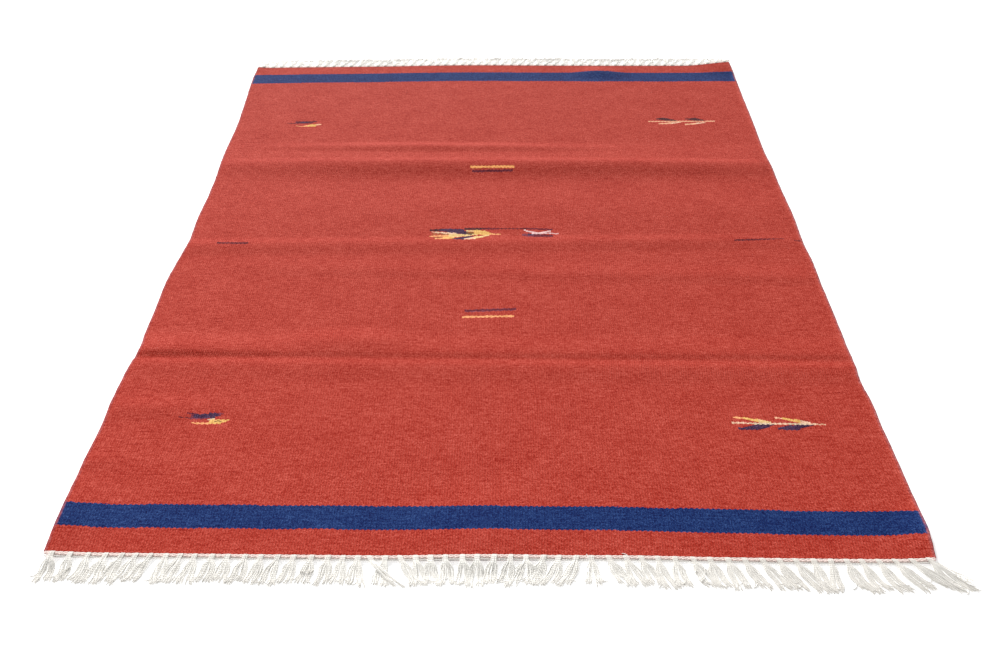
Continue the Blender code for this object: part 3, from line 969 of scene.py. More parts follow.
@dataclass(frozen=True)
class WovenField:
    """The woven cloth as one sheet with rounded selvedges."""

    laid: LaidCloth
    wool: WovenWool
    edge_steps: int = 5             # points round each selvedge
    margin: float = 0.012           # plain wool that shares a motif's material
    stroke_half: float = 8.0        # half the widest stroke of a motif, in millimetres
    loop_most: float = 0.0011       # how far the largest weft loops stand out of a selvedge
    loop_rarity: float = 1.5        # how few of them are large
    loop_blend: float = 0.25        # how much each row's loops follow the next row's
    loop_seed: int = 5
    rows: tuple[Stretch, ...] = (
        Stretch(start=-1.000, pitch=0.002),
        Stretch(start=-0.996, pitch=0.012),
        Stretch(start=-0.590, pitch=0.0055),
        Stretch(start=-0.370, pitch=0.012),
        Stretch(start=-0.225, pitch=0.006),
        Stretch(start=0.040, pitch=0.012),
        Stretch(start=0.240, pitch=0.0055),
        Stretch(start=0.500, pitch=0.012),
        Stretch(start=0.996, pitch=0.002),
    )
    columns: tuple[Stretch, ...] = (
        Stretch(start=-0.700, pitch=0.003),
        Stretch(start=-0.691, pitch=0.0105),
        Stretch(start=0.691, pitch=0.003),
    )

    def section(self) -> tuple[np.ndarray, np.ndarray, np.ndarray]:
        """The cloth's section, round from the top's left edge.

        Returns:
            Each point's place across, how far it stands outside the selvedge, and its height.
        """
        flat = stations(self.columns, self.laid.width / 2)
        half = self.laid.thickness / 2
        turn = np.linspace(0.5, -0.5, self.edge_steps + 2)[1:-1] * math.pi
        edge = np.full(self.edge_steps, self.laid.width / 2)
        none = np.zeros(len(flat))
        across = np.concatenate([flat, edge, flat[::-1], -edge])
        out = np.concatenate([none, np.cos(turn) * half, none, -np.cos(turn) * half])
        lift = np.concatenate([none + 2 * half, half + np.sin(turn) * half, none,
                               half - np.sin(turn) * half])
        return across, out, lift

    def build(self, middle: Vector) -> bpy.types.Object:
        """Weave the sheet and lay it in its place.

        Args:
            middle: where the middle of the rug stands.

        Returns:
            The sheet.
        """
        across, out, lift = self.section()
        along = stations(self.rows, self.laid.length / 2)
        grid_u, grid_v = np.meshgrid(across, along)
        x, y = self.laid.place(grid_u, grid_v)
        z = self.laid.rise(x, y) + lift
        loops = 1 + self.loops(len(along)) / (self.laid.thickness / 2)
        reach = out * np.where(out < 0, loops[:, :1], loops[:, 1:])
        points = np.stack([x + reach, y, z], axis=-1).reshape(-1, 3)
        flat = np.stack([grid_u + out, grid_v], axis=-1).reshape(-1, 2)
        faces = self.faces(len(along), len(across))
        stock = MeshStock()
        stock.add(points, faces, flat[faces.ravel()])
        materials = [self.wool.material("red_wool_field")]
        materials += [self.wool.material(f"wool_{motif.name}", motif) for motif in MOTIFS]
        piece = stock.make("woven_cloth", middle, materials, "wool_cloth")
        centres = flat[faces].mean(axis=1)
        piece.data.polygons.foreach_set("material_index", self.motif_index(centres))
        piece.data.set_sharp_from_angle(angle=SMOOTH_ANGLE)
        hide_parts(self.laid.node)
        return piece

    def loops(self, rows: int) -> np.ndarray:
        """How far the weft loops stand out of the two selvedges.

        Args:
            rows: how many rows of points the sheet has.

        Returns:
            The distances at the left and the right of each row.
        """
        drawn = np.random.default_rng(self.loop_seed).uniform(0, 1, (rows + 1, 2))
        drawn = drawn ** self.loop_rarity
        return self.loop_most * (drawn[:-1] + self.loop_blend * (drawn[1:] - drawn[:-1]))

    def faces(self, rows: int, ring: int) -> np.ndarray:
        """The sheet's faces: its walls from row to row, and its two ends.

        Args:
            rows: how many sections there are.
            ring: how many points each has.

        Returns:
            The faces' four points.
        """
        row, step = np.meshgrid(np.arange(rows - 1), np.arange(ring), indexing="ij")
        after = (step + 1) % ring
        walls = np.stack([row * ring + step, row * ring + after,
                          (row + 1) * ring + after, (row + 1) * ring + step], axis=-1)
        walls = walls.reshape(-1, 4)[:, ::-1]
        turned = self.edge_steps // 2
        first = np.arange(-turned - 1, ring // 2 - turned - 1)
        pairs = np.stack([first, first + 1, ring - 2 * turned - 3 - first,
                          ring - 2 * turned - 2 - first], axis=-1) % ring
        far_end = pairs[:, ::-1] + (rows - 1) * ring
        return np.concatenate([walls, pairs, far_end])

    def motif_index(self, centres: np.ndarray) -> np.ndarray:
        """Which material each face takes.

        Args:
            centres: the faces' flat places.

        Returns:
            0 for the field, or the motif's number.
        """
        index = np.zeros(len(centres), dtype=np.int32)
        for number, motif in enumerate(MOTIFS, start=1):
            strokes = motif.strokes
            left = (motif.x + min(stroke.x for stroke in strokes)) * MM
            right = (motif.x + max(stroke.x + stroke.reach for stroke in strokes)) * MM
            ends = [stroke.y for stroke in strokes]
            ends += [stroke.y + stroke.rise for stroke in strokes]
            low = (motif.y + min(ends) - self.stroke_half) * MM
            high = (motif.y + max(ends) + self.stroke_half) * MM
            wide = (centres[:, 0] > left - self.margin) & (centres[:, 0] < right + self.margin)
            tall = (centres[:, 1] > low - self.margin) & (centres[:, 1] < high + self.margin)
            index[wide & tall] = number
        return index


# ---- Fringe ------------------------------------------------------------------------------
class Sweep(NamedTuple):
    """How a stretch of fringe lies: its knots' drift off even places, its lean, its reach, and the
    painted shade on its tassels.
    """

    at: float
    drift: float
    lean: float
    reach: float
    painted_shade: float = 0.0


class Quirk(NamedTuple):
    """A tassel unlike its neighbours: its further lean, its fan against theirs and its lift."""

    at: float
    lean: float
    fan: float
    lift: float


class Stray(NamedTuple):
    """One loose yarn: where it starts, which way it heads in degrees, and how it curls."""

    at: float
    out: float
    heading: float
    length: float
    curl: float


class Root(NamedTuple):
    """A place on a tassel's way over the header: how far out, how wide and how high it is."""

    out: float
    wide: float
    high: float


class TwinedRow(NamedTuple):
    """One row of twining in the header: its place out, and which way its strands turn."""

    out: float
    turn: int


class Ripple(NamedTuple):
    """A wave along the cloth's end: its size, and its pace in radians to a metre."""

    size: float
    pace: float

    def at(self, across: np.ndarray) -> np.ndarray:
        """How far it stands off its middle line at places across the cloth."""
        return self.size * np.sin(across * self.pace)


@dataclass(frozen=True)
class ClothEnd:
    """One end of the cloth: which way it faces, and which solid its finish dresses."""

    laid: LaidCloth
    name: str
    node: str
    way: int                        # 1 where it faces along +Y, and -1 where it faces back

    def hem_point(self, across: np.ndarray, out: np.ndarray) -> tuple[np.ndarray, np.ndarray]:
        """Floor place at a distance out from this end."""
        x, y = self.laid.place(across, np.full_like(across, self.way * self.laid.length / 2))
        return x, y + self.way * out

    def foot(self, across: np.ndarray) -> np.ndarray:
        """Height of this end over the floor."""
        x, y = self.hem_point(across, np.zeros_like(across))
        return self.laid.rise(x, y)


@dataclass(frozen=True)
class TwinedHeader:
    """The header: rows of two strands twined round each other along the end."""

    end: ClothEnd
    rows: tuple[TwinedRow, ...] = (TwinedRow(out=0.0023, turn=1), TwinedRow(out=0.0050, turn=-1))
    radius: float = 0.00160         # half a strand's width
    flatness: float = 0.50          # a strand's height against its width
    sides: int = 8
    swing_wide: float = 0.00060     # how far a strand swings as it turns round the other
    swing_high: float = 0.00045
    turn: float = 0.0178            # length of one turn
    turn_steps: int = 12
    lift: float = 0.0028            # from the underside of the cloth to the strands' middle
    tone: float = 0.05

    def mesh(self) -> MeshStock:
        """Twine the rows.

        Returns:
            Their mesh.
        """
        stock = MeshStock()
        width = self.end.laid.width
        steps = round(width / self.turn * self.turn_steps)
        across = np.linspace(-width / 2, width / 2, steps)
        radii = np.full(steps, self.radius)
        radii[0] = radii[-1] = self.radius / 2
        for row in self.rows:
            x, y = self.end.hem_point(across, np.full_like(across, row.out))
            z = self.end.foot(across) + self.lift
            for start in (0.0, math.pi):
                phase = across / self.turn * math.tau * row.turn + start
                path = np.stack([x, y + self.swing_wide * np.cos(phase),
                                 z + self.swing_high * np.sin(phase)], axis=-1)
                stock.add(*tube(path, radii, self.sides, self.flatness), tone=self.tone)
        return stock


@dataclass(frozen=True)
class KnottingCord:
    """The thin cord beyond the header that slants out from each tassel to the next."""

    end: ClothEnd
    radius: float = 0.00080
    sides: int = 6
    steps: int = 560
    near: float = 0.0098            # its place out, just past a knot
    far: float = 0.0109             # and just before the next one
    turn_back: float = 0.86         # share of the way to the next knot at which it turns back
    lift: float = 0.0033
    drifts: tuple[Ripple, ...] = (Ripple(0.0003, 61.0), Ripple(0.0002, 143.0))
    bob: Ripple = Ripple(0.0002, 97.0)
    lumps: Ripple = Ripple(0.12, 880.0)     # as a share of its radius
    tone: float = 1.00

    def mesh(self, places: Sequence[float]) -> MeshStock:
        """Lay the cord.

        Args:
            places: the knots' places across the cloth.

        Returns:
            The cord's mesh.
        """
        half = self.end.laid.width / 2
        across = np.linspace(-half, half, self.steps)
        stops = np.array([-half, *places, half])
        index = np.clip(np.searchsorted(stops, across, side="right") - 1, 0, len(stops) - 2)
        share = (across - stops[index]) / (stops[index + 1] - stops[index])
        back = ease((share - self.turn_back) / (1 - self.turn_back))
        slant = np.where(share < self.turn_back, share / self.turn_back, 1 - back)
        out = self.near + (self.far - self.near) * slant
        for drift in self.drifts:
            out = out + drift.at(across)
        x, y = self.end.hem_point(across, out)
        z = self.end.foot(across) + self.lift + self.bob.at(across)
        radii = self.radius * (1 + self.lumps.at(across))
        radii[0] = radii[-1] = self.radius / 2
        stock = MeshStock()
        stock.add(*tube(np.stack([x, y, z], axis=-1), radii, self.sides), tone=self.tone)
        return stock


class Lie(NamedTuple):
    """How one tassel lies, as its knot and its two locks do in the solids."""

    place: float                    # its knot's place across the cloth
    slant: float                    # how far it leans for each metre out
    reaches: tuple[float, float]    # how far its left and its right lock reach
    splay: float                    # how far apart the two locks end
    bow: float                      # how far it bends sideways at its middle
    painted_shade: float                     # painted shade that darkens it; below zero it lightens it
    quirk: Quirk


@dataclass(frozen=True)
class Tassels:
    """The tassels of one end, and the loose yarns beside them."""

    end: ClothEnd
    sweep: tuple[Sweep, ...]
    quirks: tuple[Quirk, ...]
    strays: tuple[Stray, ...]
    yarns: int                      # in one tassel
    quirk_reach: float = 0.0125     # how near a quirk is to its own knot
    # The locks of the solids.
    lean_spread: float = 0.0010
    reach_spread: float = 0.0045
    splay_least: float = 0.0055
    splay_most: float = 0.0090
    bow_most: float = 0.0020
    knot_out: float = 0.0119        # from the cloth's end to where a tassel lies free
    settle_share: float = 0.7       # share of its reach over which it comes down to the floor
    # From inside the header to the knotting cord.
    roots: tuple[Root, ...] = (
        Root(out=0.0010, wide=0.80, high=0.0026),
        Root(out=0.0032, wide=0.92, high=0.0035),
        Root(out=0.0064, wide=1.00, high=0.0036),
        Root(out=0.0096, wide=1.00, high=0.0036),
    )
    root_pile: float = 0.4          # how much of its pile a tassel has there
    root_lean: float = 0.5          # and how much of its lean
    neck: float = 0.0037            # half a tassel's width at the knotting cord
    neck_high: float = 0.0031       # its height there over the floor or the raised end
    # Its width and its reach beyond the cord.
    belly_least: float = 0.0078     # half its width once it has spread
    belly_most: float = 0.0104
    belly_splay: float = 0.125      # how much of its splay is added to that
    belly_share: float = 0.40       # share of its reach over which it spreads
    tip_least: float = 0.95         # its width at the tips against that at the belly
    tip_most: float = 1.50
    part_share: float = 0.22        # how clearly it parts into its two locks
    lean_start: float = 0.8         # how steeply it leans at the cord, against its tips
    longest: float = 1.03           # the longest yarns' reach against their lock's
    ragged: float = 0.16            # how much shorter the shortest ones are
    # How its yarns wander.
    slot_spread: float = 0.16       # how unevenly they stand side by side
    wander: float = 0.0012          # how far a whole tassel snakes
    wander_pace: float = 7.0
    drift: float = 0.0020           # how far one yarn strays from the rest
    drift_pace: float = 4.0
    crimp_least: float = 0.0002
    crimp_most: float = 0.0005
    crimp_start: float = 0.25       # share of its crimp that a yarn has at the cord
    wave_least: float = 0.010
    wave_most: float = 0.017
    curled_share: float = 0.18      # how many yarns end in a curl
    curl_start: float = 0.62
    curl_rush: float = 1.5          # how late in its run a curl tightens
    curl_most: float = 2.4          # how far a curled end turns, in radians
    curl_least: float = 0.35        # and how far any other end does
    # Their thickness and their pile.
    yarn_radius: float = 0.00076
    radius_least: float = 0.85
    radius_most: float = 1.15
    yarn_sides: int = 5
    free_rings: int = 18
    cut_radii: tuple[float, float] = (0.85, 0.35)   # how thin its last two rings are
    pile: float = 0.0007            # how high the yarns lie on one another
    edge_sink: float = 0.6          # how much lower the outer yarns lie
    tip_pile: float = 0.35          # how much of the pile is left at the tips
    pile_fall: float = 1.5
    # Their random tones and their painted shade.
    tone_most: float = 0.40
    painted_edge_shade: float = 0.10         # painted shade on the outer yarns
    painted_tip_shade: float = 1.20          # painted shade on the tips
    painted_tip_shade_at: float = 0.55       # share of a yarn's rings at which it begins
    painted_root_shade: float = 3.00         # painted shade on the yarns over the header, next to the cloth's end
    painted_root_shade_at: float = 0.08
    painted_root_shade_run: float = 0.22
    # The loose yarns.
    stray_thin: float = 0.8         # their thickness against the tassels' yarns
    stray_tones: tuple[float, float] = (0.3, 0.9)
    stray_on_cloth: float = 0.0034  # how high their middles lie on the cloth's end
    stray_on_floor: float = 0.0026  # and beyond it
    stray_step: float = 0.0095      # where they have come down from it
    stray_step_run: float = 0.005

    def meshes(self, places: Sequence[float], draw: random.Random,
               fine: np.random.Generator) -> tuple[MeshStock, MeshStock]:
        """Lay every yarn on the locks of the solids.

        Args:
            places: the knots' places across the cloth.
            draw: draws each lock's unevenness, as in the solids.
            fine: draws each yarn's own unevenness.

        Returns:
            The meshes of the left and the right half of the fringe.
        """
        stocks = (MeshStock(), MeshStock())
        for place in places:
            self.add_tassel(stocks[int(place > 0)], fine, self.lie(place, draw))
        for stray in self.strays:
            self.add_stray(stocks[int(stray.at > 0)], fine, stray)
        return stocks

    def lie(self, place: float, draw: random.Random) -> Lie:
        """How the tassel of one knot lies.

        Args:
            place: the knot's place across the cloth.
            draw: draws its locks' unevenness, as in the solids.

        Returns:
            How it lies.
        """
        at = np.array([place])
        lean, reach, painted_shade = (float(read_table(self.sweep, column, at)[0])
                             for column in ("lean", "reach", "painted_shade"))
        lean += draw.uniform(-self.lean_spread, self.lean_spread)
        splay = draw.uniform(self.splay_least, self.splay_most)
        bow = draw.uniform(-self.bow_most, self.bow_most)
        left, right = (reach + draw.uniform(-self.reach_spread, self.reach_spread)
                       for _ in range(2))
        quirk = min(self.quirks, key=lambda row: abs(row.at - place))
        if abs(quirk.at - place) > self.quirk_reach:
            quirk = Quirk(at=place, lean=0.0, fan=1.0, lift=0.0)
        return Lie(place, (lean + quirk.lean) / reach, (left, right), splay, bow, painted_shade, quirk)

    def vary(self, fine: np.random.Generator, least: float, most: float) -> np.ndarray:
        """One number for each yarn of a tassel, drawn evenly."""
        return fine.uniform(least, most, (self.yarns, 1))

    def add_tassel(self, stock: MeshStock, fine: np.random.Generator, lie: Lie) -> None:
        """One tassel, from inside the header to its tips on the floor.

        Args:
            stock: where it goes.
            fine: draws each yarn's own unevenness.
            lie: how it lies.
        """
        slot = np.linspace(-1, 1, self.yarns)[:, None]
        slot = slot + self.vary(fine, -self.slot_spread, self.slot_spread)
        edge = np.minimum(np.abs(slot), 1)
        share = np.linspace(0, 1, self.free_rings)[None, :]
        aside, out = self.free_run(fine, lie, slot, share)

        radius = self.yarn_radius * self.vary(fine, self.radius_least, self.radius_most)
        layer = self.vary(fine, 0, 1) * (1 - self.edge_sink * edge ** 2) * self.pile
        foot = float(self.end.foot(np.array([lie.place]))[0])
        free_z = (foot + self.neck_high) * (1 - ease(share / self.settle_share)) + radius
        left_of_pile = self.tip_pile + (1 - self.tip_pile) * (1 - share) ** self.pile_fall
        free_z = free_z + layer * left_of_pile + lie.quirk.lift * np.sin(math.pi * share)

        root_out, wide, high = (np.array(column)[None, :] for column in zip(*self.roots))
        root_x = slot * wide * self.neck + lie.slant * (root_out - self.knot_out) * self.root_lean
        root_z = foot + high + radius + layer * self.root_pile
        hem_x, hem_y = self.end.hem_point(np.array([lie.place]), np.array([0.0]))
        x = hem_x[0] + np.hstack([root_x, aside])
        y = hem_y[0] + self.end.way * np.hstack([np.repeat(root_out, self.yarns, axis=0),
                                                 out + self.knot_out])
        z = np.hstack([root_z, free_z])
        # Each yarn's random tone, plus painted shade: from the sweep, on the outer yarns, over the
        # header and at the tips.
        tones = lie.painted_shade + self.vary(fine, 0, self.tone_most) + self.painted_edge_shade * edge ** 4
        tones = tones + self.painted_shade_run(x.shape[1])
        for yarn in range(self.yarns):
            path = np.stack([x[yarn], y[yarn], z[yarn]], axis=-1)
            self.add_yarn(stock, path, float(radius[yarn, 0]), tones[yarn])

    def free_run(self, fine: np.random.Generator, lie: Lie, slot: np.ndarray,
                 share: np.ndarray) -> tuple[np.ndarray, np.ndarray]:
        """How a tassel's yarns run beyond the knotting cord.

        Args:
            fine: draws each yarn's own unevenness.
            lie: how the tassel lies.
            slot: each yarn's place in it, from -1 at its left to 1 at its right.
            share: share of the reach at each ring.

        Returns:
            The yarns' sideways places, a row each, and how far out they are from the cord.
        """
        reach = np.where(slot < 0, *lie.reaches)
        out = reach * (self.longest - self.vary(fine, 0, 1) ** 2 * self.ragged) * share
        belly = fine.uniform(self.belly_least, self.belly_most) + lie.splay * self.belly_splay
        belly = belly * lie.quirk.fan
        tip = fine.uniform(self.tip_least, self.tip_most)
        half = self.neck + (belly - self.neck) * ease(share / self.belly_share)
        half = half * (1 + (tip - 1) * ease((share - self.belly_share) / (1 - self.belly_share)))
        parted = slot + (np.sign(slot) - slot) * self.part_share * share
        aside = parted * half + lie.bow * np.sin(math.pi * share)
        aside = aside + lie.slant * out * (self.lean_start + (1 - self.lean_start) * share)

        sway = fine.uniform(0, math.tau)
        snake = np.sin(share * self.wander_pace + sway) - math.sin(sway)
        aside = aside + self.wander * share * snake
        drift = self.vary(fine, -self.drift, self.drift) * share
        aside = aside + drift * np.sin(share * self.drift_pace + self.vary(fine, 0, math.tau))
        wave = math.tau / self.vary(fine, self.wave_least, self.wave_most)
        crimp = self.vary(fine, self.crimp_least, self.crimp_most)
        crimp = crimp * (self.crimp_start + (1 - self.crimp_start) * share)
        aside = aside + crimp * np.sin(out * wave + self.vary(fine, 0, math.tau))

        strong = self.vary(fine, -self.curl_most, self.curl_most)
        slight = self.vary(fine, -self.curl_least, self.curl_least)
        curl = np.where(self.vary(fine, 0, 1) < self.curled_share, strong, slight)
        return self.curled(aside, out, curl)

    def curled(self, aside: np.ndarray, out: np.ndarray,
               curl: np.ndarray) -> tuple[np.ndarray, np.ndarray]:
        """Turn the ends of yarns sideways.

        Args:
            aside: the yarns' sideways places, a row each.
            out: how far out they are.
            curl: how far each turns at its tip, in radians.

        Returns:
            The new places.
        """
        step_x, step_y = np.diff(aside, axis=1), np.diff(out, axis=1)
        share = np.linspace(0, 1, step_x.shape[1])[None, :]
        late = np.clip((share - self.curl_start) / (1 - self.curl_start), 0, 1)
        turn = curl * late ** self.curl_rush
        new_x = step_x * np.cos(turn) + step_y * np.sin(turn)
        new_y = step_y * np.cos(turn) - step_x * np.sin(turn)
        aside = np.hstack([aside[:, :1], aside[:, :1] + np.cumsum(new_x, axis=1)])
        out = np.hstack([out[:, :1], out[:, :1] + np.cumsum(new_y, axis=1)])
        return aside, out

    def painted_shade_run(self, rings: int) -> np.ndarray:
        """How much painted shade darkens a yarn along its way, over the header and at its tips.

        Args:
            rings: how many rings it has.

        Returns:
            The painted shade to add at each ring, from its root to its tip.
        """
        share = np.linspace(0, 1, rings)
        tips = ease((share - self.painted_tip_shade_at) / (1 - self.painted_tip_shade_at))
        roots = 1 - ease((share - self.painted_root_shade_at) / self.painted_root_shade_run)
        return self.painted_tip_shade * tips + self.painted_root_shade * roots

    def add_stray(self, stock: MeshStock, fine: np.random.Generator, stray: Stray) -> None:
        """One loose yarn beside the tassels or on the cloth's end.

        Args:
            stock: where it goes.
            fine: draws its tone.
            stray: where it lies and how it curls.
        """
        share = np.linspace(0, 1, self.free_rings)
        heading = math.radians(stray.heading) + stray.curl * share
        step = stray.length / (self.free_rings - 1)
        aside = np.cumsum(np.sin(heading)) * step
        out = stray.out + np.cumsum(np.cos(heading)) * step
        root_x, root_y = self.end.hem_point(np.array([stray.at]), np.array([0.0]))
        x, y = root_x[0] + aside, root_y[0] + self.end.way * out
        on_cloth = ease((self.stray_step - out) / self.stray_step_run)
        z = on_cloth * (self.end.laid.rise(x, y) + self.stray_on_cloth)
        z = z + self.stray_on_floor * (1 - on_cloth) + self.yarn_radius
        tones = np.full(len(share), fine.uniform(*self.stray_tones))
        self.add_yarn(stock, np.stack([x, y, z], axis=-1), self.yarn_radius * self.stray_thin,
                      tones)

    def add_yarn(self, stock: MeshStock, path: np.ndarray, radius: float,
                 tones: np.ndarray) -> None:
        """A yarn that thins at its cut end.

        Args:
            stock: where it goes.
            path: the yarn's path.
            radius: its radius.
            tones: how dark it is at each point of the path.
        """
        radii = np.full(len(path), radius)
        radii[-2:] *= self.cut_radii
        stock.add(*tube(path, radii, self.yarn_sides), tone=np.repeat(tones, self.yarn_sides))


@dataclass(frozen=True)
class FringeEnd:
    """One end's finish: its header, its knotting cord and its tassels."""

    end: ClothEnd
    tassels: Tassels
    cotton: CottonYarn
    twine: CottonYarn
    seed: int
    knots: int = 55
    first_knot: float = -0.684
    last_knot: float = 0.690
    knot_shift: float = 0.0016

    def knot_places(self, draw: random.Random) -> list[float]:
        """Where the knots sit across the cloth.

        Args:
            draw: draws their unevenness, as in the solids.

        Returns:
            The places.
        """
        pitch = (self.last_knot - self.first_knot) / (self.knots - 1)
        even = self.first_knot + pitch * np.arange(self.knots)
        drift = read_table(self.tassels.sweep, "drift", even)
        return [place + draw.uniform(-self.knot_shift, self.knot_shift) for place in even + drift]

    def build(self, middle: Vector) -> list[bpy.types.Object]:
        """Make the header, the knotting cord and the two halves of the tassels.

        Args:
            middle: where the middle of the rug stands.

        Returns:
            The pieces.
        """
        cotton = self.cotton.material(f"cotton_{self.end.name}")
        twine = self.twine.material(f"twine_{self.end.name}")
        draw = random.Random(self.seed)
        places = self.knot_places(draw)
        left, right = self.tassels.meshes(places, draw, np.random.default_rng(self.seed))
        stocks = (
            ("header", TwinedHeader(self.end).mesh(), twine),
            ("knot_cord", KnottingCord(self.end).mesh(places), cotton),
            ("tassels_left", left, cotton),
            ("tassels_right", right, cotton),
        )
        pieces = []
        for label, stock, yarn in stocks:
            piece = stock.make(f"{label}_{self.end.name}", middle, [yarn], "cotton_fringe")
            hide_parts(self.end.node)
            pieces.append(piece)
        return pieces


# ---- Stage -------------------------------------------------------------------------------
@dataclass(frozen=True)
class Studio:
    """The floor, the soft light and the camera at the photograph's angle."""

    camera_place: tuple[float, float, float] = (0.01714, -2.23089, 1.29777)
    pitch: float = math.radians(35.219)
    yaw: float = math.radians(0.106)
    roll: float = math.radians(0.212)
    lens: float = 40.366
    floor_size: float = 40.0
    strip_lift: float = 0.00005     # how high the unlit strip lies over the floor
    strip_steps: int = 120
    strip_dim: float = 0.85         # share of the light from below that it lacks
    strip_fade_start: float = 0.0078    # how far out from the near end it begins to be lit
    strip_fade_end: float = 0.0096
    world_strength: float = 0.45
    key_rise: float = math.radians(20)  # how high the low back light stands
    key_swing: float = math.radians(15)     # how far it stands to the left of straight behind
    key_spread: float = math.radians(22)    # how wide it is seen from the rug
    key_strength: float = 5.97
    fill_place: tuple[float, float, float] = (-4.0, -0.3, 2.2)
    fill_size: float = 3.0
    fill_power: float = 85.0

    def build(self, laid: LaidCloth, middle: Vector) -> None:
        """Lay the floor, light it and stand the camera.

        Args:
            laid: the cloth's outline.
            middle: where the middle of the rug stands.
        """
        bpy.context.scene.view_settings.view_transform = "Standard"
        self.add_floor(laid, middle)
        self.add_light(middle)
        self.add_camera(middle)

    def add_floor(self, laid: LaidCloth, middle: Vector) -> None:
        """A wide floor, and a strip of it along the near end that isn't lit from below.

        Args:
            laid: the cloth's outline.
            middle: where the middle of the rug stands.
        """
        material = PaleFloor().material("floor_white")
        half = self.floor_size / 2
        corners = [(-half, -half, 0), (half, -half, 0), (half, half, 0), (-half, half, 0)]
        self.lay("floor", material, corners, [(0, 1, 2, 3)], [0.0] * 4)
        across = np.linspace(-laid.width / 2, laid.width / 2, self.strip_steps)
        x, y = laid.place(across, np.full_like(across, -laid.length / 2))
        outs = (-self.strip_fade_end, self.strip_fade_start, self.strip_fade_end)
        points = [(x[step] + middle.x, y[step] - out + middle.y, self.strip_lift)
                  for out in outs for step in range(self.strip_steps)]
        faces = [(row + step, row + step + self.strip_steps, row + step + self.strip_steps + 1,
                  row + step + 1)
                 for row in (0, self.strip_steps) for step in range(self.strip_steps - 1)]
        dims = [self.strip_dim] * (2 * self.strip_steps) + [0.0] * self.strip_steps
        self.lay("floor_strip", material, points, faces, dims)

    @staticmethod
    def lay(name: str, material: bpy.types.Material, points: Sequence[Sequence[float]],
            faces: Sequence[Sequence[int]], dims: Sequence[float]) -> None:
        """Lay one piece of the floor.

        Args:
            name: its name.
            material: the floor's material.
            points: its points.
            faces: its faces.
            dims: how much of the light from below each point lacks.
        """
        mesh = bpy.data.meshes.new(name)
        mesh.from_pydata(points, [], faces)
        mesh.attributes.new(TONE, "FLOAT", "POINT").data.foreach_set("value", dims)
        mesh.materials.append(material)
        piece = bpy.data.objects.new(name, mesh)
        bpy.context.scene.collection.objects.link(piece)

    def add_light(self, middle: Vector) -> None:
        """Even light from all round, a low soft light behind the rug and a lamp on its left.

        Args:
            middle: where the middle of the rug stands.
        """
        world = bpy.data.worlds.new("studio")
        world.use_nodes = True
        background = world.node_tree.nodes["Background"]
        background.inputs["Color"].default_value = (1.0, 1.0, 1.0, 1.0)
        background.inputs["Strength"].default_value = self.world_strength
        bpy.context.scene.world = world
        sun = bpy.data.lights.new("back_light", "SUN")
        sun.angle = self.key_spread
        sun.energy = self.key_strength
        back = bpy.data.objects.new("back_light", sun)
        flat = math.cos(self.key_rise)
        toward = Vector((-math.sin(self.key_swing) * flat, math.cos(self.key_swing) * flat,
                         math.sin(self.key_rise)))
        back.rotation_euler = toward.to_track_quat("Z", "Y").to_euler()
        bpy.context.scene.collection.objects.link(back)
        lamp = bpy.data.lights.new("side_light", "AREA")
        lamp.shape = "DISK"
        lamp.size = self.fill_size
        lamp.energy = self.fill_power
        side = bpy.data.objects.new("side_light", lamp)
        side.location = Vector(self.fill_place) + middle
        side.rotation_euler = (side.location - middle).to_track_quat("Z", "Y").to_euler()
        bpy.context.scene.collection.objects.link(side)

    def add_camera(self, middle: Vector) -> None:
        """Stand the camera where the photograph was taken from.

        Args:
            middle: where the middle of the rug stands.
        """
        lens = bpy.data.cameras.new("camera")
        lens.lens = self.lens
        camera = bpy.data.objects.new("camera", lens)
        turn = (Matrix.Rotation(self.yaw, 4, "Z")
                @ Matrix.Rotation(math.pi / 2 - self.pitch, 4, "X")
                @ Matrix.Rotation(self.roll, 4, "Z"))
        camera.matrix_world = Matrix.Translation(Vector(self.camera_place) + middle) @ turn
        bpy.context.scene.collection.objects.link(camera)
        bpy.context.scene.camera = camera


# The sweeps' last column is shade painted on the tassels; below zero it lightens them.
NEAR_SWEEP = (
    Sweep(at=-0.69, drift=-0.003, lean=-0.001, reach=0.046, painted_shade=0.4),
    Sweep(at=-0.60, drift=0.004, lean=-0.011, reach=0.048, painted_shade=0.3),
    Sweep(at=-0.54, drift=0.000, lean=-0.018, reach=0.047, painted_shade=0.2),
    Sweep(at=-0.45, drift=-0.007, lean=-0.006, reach=0.047, painted_shade=0.3),
    Sweep(at=-0.36, drift=-0.006, lean=-0.010, reach=0.047, painted_shade=0.3),
    Sweep(at=-0.24, drift=-0.003, lean=-0.006, reach=0.048, painted_shade=0.3),
    Sweep(at=-0.15, drift=-0.012, lean=0.010, reach=0.050, painted_shade=0.0),
    Sweep(at=-0.05, drift=-0.019, lean=0.001, reach=0.048, painted_shade=-0.3),
    Sweep(at=0.01, drift=-0.022, lean=-0.009, reach=0.047, painted_shade=-0.3),
    Sweep(at=0.12, drift=-0.022, lean=-0.017, reach=0.047, painted_shade=0.0),
    Sweep(at=0.18, drift=-0.021, lean=0.011, reach=0.049, painted_shade=0.5),
    Sweep(at=0.23, drift=-0.017, lean=0.021, reach=0.050, painted_shade=0.8),
    Sweep(at=0.30, drift=-0.016, lean=0.011, reach=0.052, painted_shade=0.9),
    Sweep(at=0.44, drift=-0.006, lean=0.028, reach=0.053, painted_shade=1.3),
    Sweep(at=0.53, drift=-0.003, lean=0.013, reach=0.054, painted_shade=1.3),
    Sweep(at=0.61, drift=-0.004, lean=0.028, reach=0.053, painted_shade=1.3),
    Sweep(at=0.69, drift=0.002, lean=0.031, reach=0.051, painted_shade=0.6),
)
